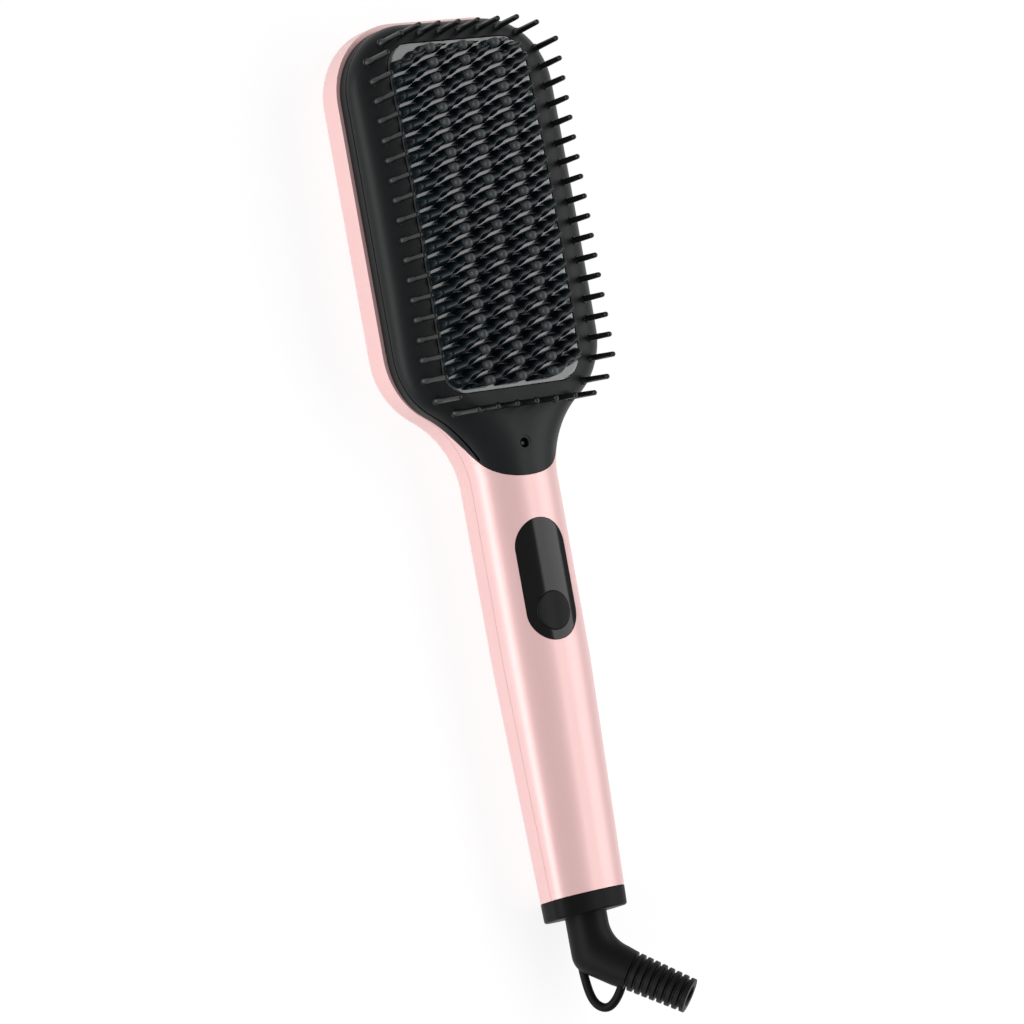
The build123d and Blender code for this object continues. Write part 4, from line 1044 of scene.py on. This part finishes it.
# Ribs stand on a tapering core. Each groove is a flat floor whose sides rise with the fourth
# power of the distance from its middle.
def makeRelief():
    start, end = elbow["reach"] + relief["gap"], relief["reach"]
    place = np.linspace(start, end, relief["rows"])
    taper = (place - start) / (end - start)
    outer = elbow["radius"] + (relief["endRadius"] - elbow["radius"]) * taper
    phase = np.mod(end - place, relief["ribPitch"])
    groove = (relief["ribPitch"] - relief["ribWidth"]) / 2
    away = np.abs(phase - relief["ribWidth"] - groove) / (groove + relief["ribRounding"])
    outer = outer - relief["ribDepth"] * np.clip(1 - away ** 4, 0, 1)
    bore, (widening, chamfer) = relief["bore"], relief["boreChamfer"]
    boreEnd = start + relief["boreEnd"]
    profile = [(start, relief["backRadius"]), (start, elbow["radius"] - relief["backStep"]),
               *zip(place, outer), (end, outer[-1] - relief["lipStep"]), (end, bore + widening),
               (end - chamfer, bore), (boreEnd, bore), (boreEnd, relief["boreFloor"])]
    sleeve = closedMesh("strainRelief", [reliefGrid(profile)], relief["crease"])
    dress(sleeve, "softBlack", "swivel", "soft_black", "strain_relief")


hangLoop = {
    "radius": 1.4, "steps": 16, "roundness": 8,
    # places (out, down) in the elbow's plane
    "route": ((-4.2, 297.0), (-4.15, 302.0), (-3.7, 308.5), (-2.2, 313.6), (1.6, 315.8),
              (5.2, 313.0), (7.6, 309.0), (8.9, 305.6)),
}


# a round section carried along a smooth curve that the route's points steer
def makeLoop():
    route = np.array(hangLoop["route"])
    curve = bpy.data.curves.new("loopPath", "CURVE")
    curve.dimensions = "3D"
    curve.resolution_u = hangLoop["steps"]
    spline = curve.splines.new("NURBS")
    spline.points.add(len(route) - 1)
    for point, (x, station, level) in zip(spline.points, elbowPoint(route[:, 0], route[:, 1])):
        point.co = (x * millimetre, (headTop - station) * millimetre, level * millimetre, 1)
    spline.order_u = 4
    spline.use_endpoint_u = True
    curve.bevel_depth = hangLoop["radius"] * millimetre
    curve.bevel_resolution = hangLoop["roundness"]
    curve.use_fill_caps = True
    path = addObject("loopPath", curve)
    ring = addObject("hangLoop", bakedMesh(path))
    bpy.data.objects.remove(path)
    ring.data.shade_smooth()
    dress(ring, "capBlack", "swivel", "black_shell", "hang_loop")


makeEndCap()
makeElbow()
makeRelief()
makeLoop()
print("tail made")


# inner pieces keep their own shapes and get their finishes
innerFinishes = {
    "frameGrey": ("comb_frame", "swivel_bush"),
    "ceramicWhite": ("heater_element", "mica_sheet", "thermal_fuse"),
    "bareAluminium": ("heater_clamp",),
    "zincSteel": ("clamp_screws", "board_screws", "housing_screws", "swivel_circlip"),
    "satinBlack": ("ion_bezel",),
    "partDark": ("temperature_sensor", "ion_emitter", "ion_generator", "display_module",
                 "tact_switch_body", "tact_plunger", "triac", "inductor"),
    "siliconeWhite": ("ion_lead", "heater_leads", "mains_leads"),
    "circuitGreen": ("control_board",),
    "capacitorYellow": ("film_capacitor",),
    "contactBrass": ("slip_rings", "brush_contacts"),
}
for finishName, nodeNames in innerFinishes.items():
    for nodeName in nodeNames:
        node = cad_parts[nodeName]
        node.data.materials.clear()
        node.data.materials.append(finishes[finishName])
print("inner pieces dressed:", sum(len(nodeNames) for nodeNames in innerFinishes.values()))


stageLook = {
    "floorSize": 12.0, "floorDrop": 0.4, "floorWhite": 0.88, "floorRoughness": 0.9,
    "shadowShare": 0.25, "glow": 1.12, "worldStrength": 0.32, "lightAim": (0, 0.03, 0.02),
    "lights": {
        "leftSoftbox": {"angle": -80, "distance": 0.95, "width": 0.5, "length": 1.5, "watts": 8.6},
        "rightSoftbox": {"angle": 48, "distance": 0.95, "width": 0.6, "length": 1.5, "watts": 7.2},
    },
}


# pale floor: to the camera mostly plain white, with part of its own shading kept for shadows
def makeFloor():
    half, level = stageLook["floorSize"] / 2, -stageLook["floorDrop"] * millimetre
    mesh = bpy.data.meshes.new("floor")
    corners = [(-half, -half, level), (half, -half, level), (half, half, level), (-half, half, level)]
    mesh.from_pydata(corners, [], [(0, 1, 2, 3)])
    floor = addObject("floor", mesh)
    material = bpy.data.materials.new("floorWhite")
    material.use_nodes = True
    nodes = material.node_tree.nodes
    shader, glow = nodes["Principled BSDF"], nodes.new("ShaderNodeEmission")
    path, mix = nodes.new("ShaderNodeLightPath"), nodes.new("ShaderNodeMixShader")
    seen, share = nodes.new("ShaderNodeMath"), nodes.new("ShaderNodeMath")
    seen.operation, share.operation = "ADD", "MULTIPLY"
    setInputs(shader, {"Base Color": (*[stageLook["floorWhite"]] * 3, 1),
                       "Roughness": stageLook["floorRoughness"]})
    setInputs(glow, {"Strength": stageLook["glow"]})
    setInputs(share, {1: 1 - stageLook["shadowShare"]})
    connect(material.node_tree, (path, "Is Camera Ray", seen, 0), (path, "Is Glossy Ray", seen, 1),
            (seen, "Value", share, 0), (share, "Value", mix, "Fac"), (shader, "BSDF", mix, 1),
            (glow, "Emission", mix, 2), (mix, "Shader", nodes["Material Output"], "Surface"))
    mesh.materials.append(material)


# two tall soft boxes beside the brush and an even white surrounding
def makeLights():
    for name, look in stageLook["lights"].items():
        lamp = bpy.data.lights.new(name, "AREA")
        lamp.shape = "RECTANGLE"
        lamp.size, lamp.size_y = look["width"], look["length"]
        lamp.energy = look["watts"]
        holder = addObject(name, lamp)
        angle = math.radians(look["angle"])
        away = Vector((math.sin(angle), 0, math.cos(angle)))
        holder.location = Vector(stageLook["lightAim"]) + away * look["distance"]
        holder.rotation_euler = (0, angle, 0)
    world = bpy.data.worlds.new("plainWorld")
    bpy.context.scene.world = world
    world.use_nodes = True
    setInputs(world.node_tree.nodes["Background"],
              {"Color": (1, 1, 1, 1), "Strength": stageLook["worldStrength"]})


viewpoint = {
    "turn": 33.36, "pitch": 1.68, "roll": 10.2, "distance": 1302.34,
    "aimStation": 138.0, "aimLevel": 20.0, "aimPixel": (517.95, 448.73),
    "focalPixels": 4164.65, "imageSize": 1024, "sensorWidth": 36.0, "clip": (0.05, 50),
}


# the camera is turned first, then set back so that the aim falls on its pixel
def makeCamera():
    turn, pitch, roll = (math.radians(viewpoint[k]) for k in ("turn", "pitch", "roll"))
    toCamera = (Matrix.Rotation(roll, 3, "Z") @ Matrix.Rotation(-pitch, 3, "X")
                @ Matrix.Rotation(turn, 3, "Y"))
    aim = Vector((0, headTop - viewpoint["aimStation"], viewpoint["aimLevel"]))
    half, (pixelX, pixelY) = viewpoint["imageSize"] / 2, viewpoint["aimPixel"]
    scale = viewpoint["distance"] / viewpoint["focalPixels"]
    seen = Vector(((pixelX - half) * scale, (half - pixelY) * scale, -viewpoint["distance"]))
    place = aim - toCamera.transposed() @ seen
    lens = bpy.data.cameras.new("viewCamera")
    lens.sensor_width = viewpoint["sensorWidth"]
    lens.lens = viewpoint["focalPixels"] / viewpoint["imageSize"] * viewpoint["sensorWidth"]
    lens.clip_start, lens.clip_end = viewpoint["clip"]
    camera = addObject("viewCamera", lens)
    camera.matrix_world = Matrix.Translation(place * millimetre) @ toCamera.transposed().to_4x4()
    bpy.context.scene.camera = camera


makeFloor()
makeLights()
makeCamera()
bpy.context.scene.view_settings.view_transform = "Standard"
print("stage made")
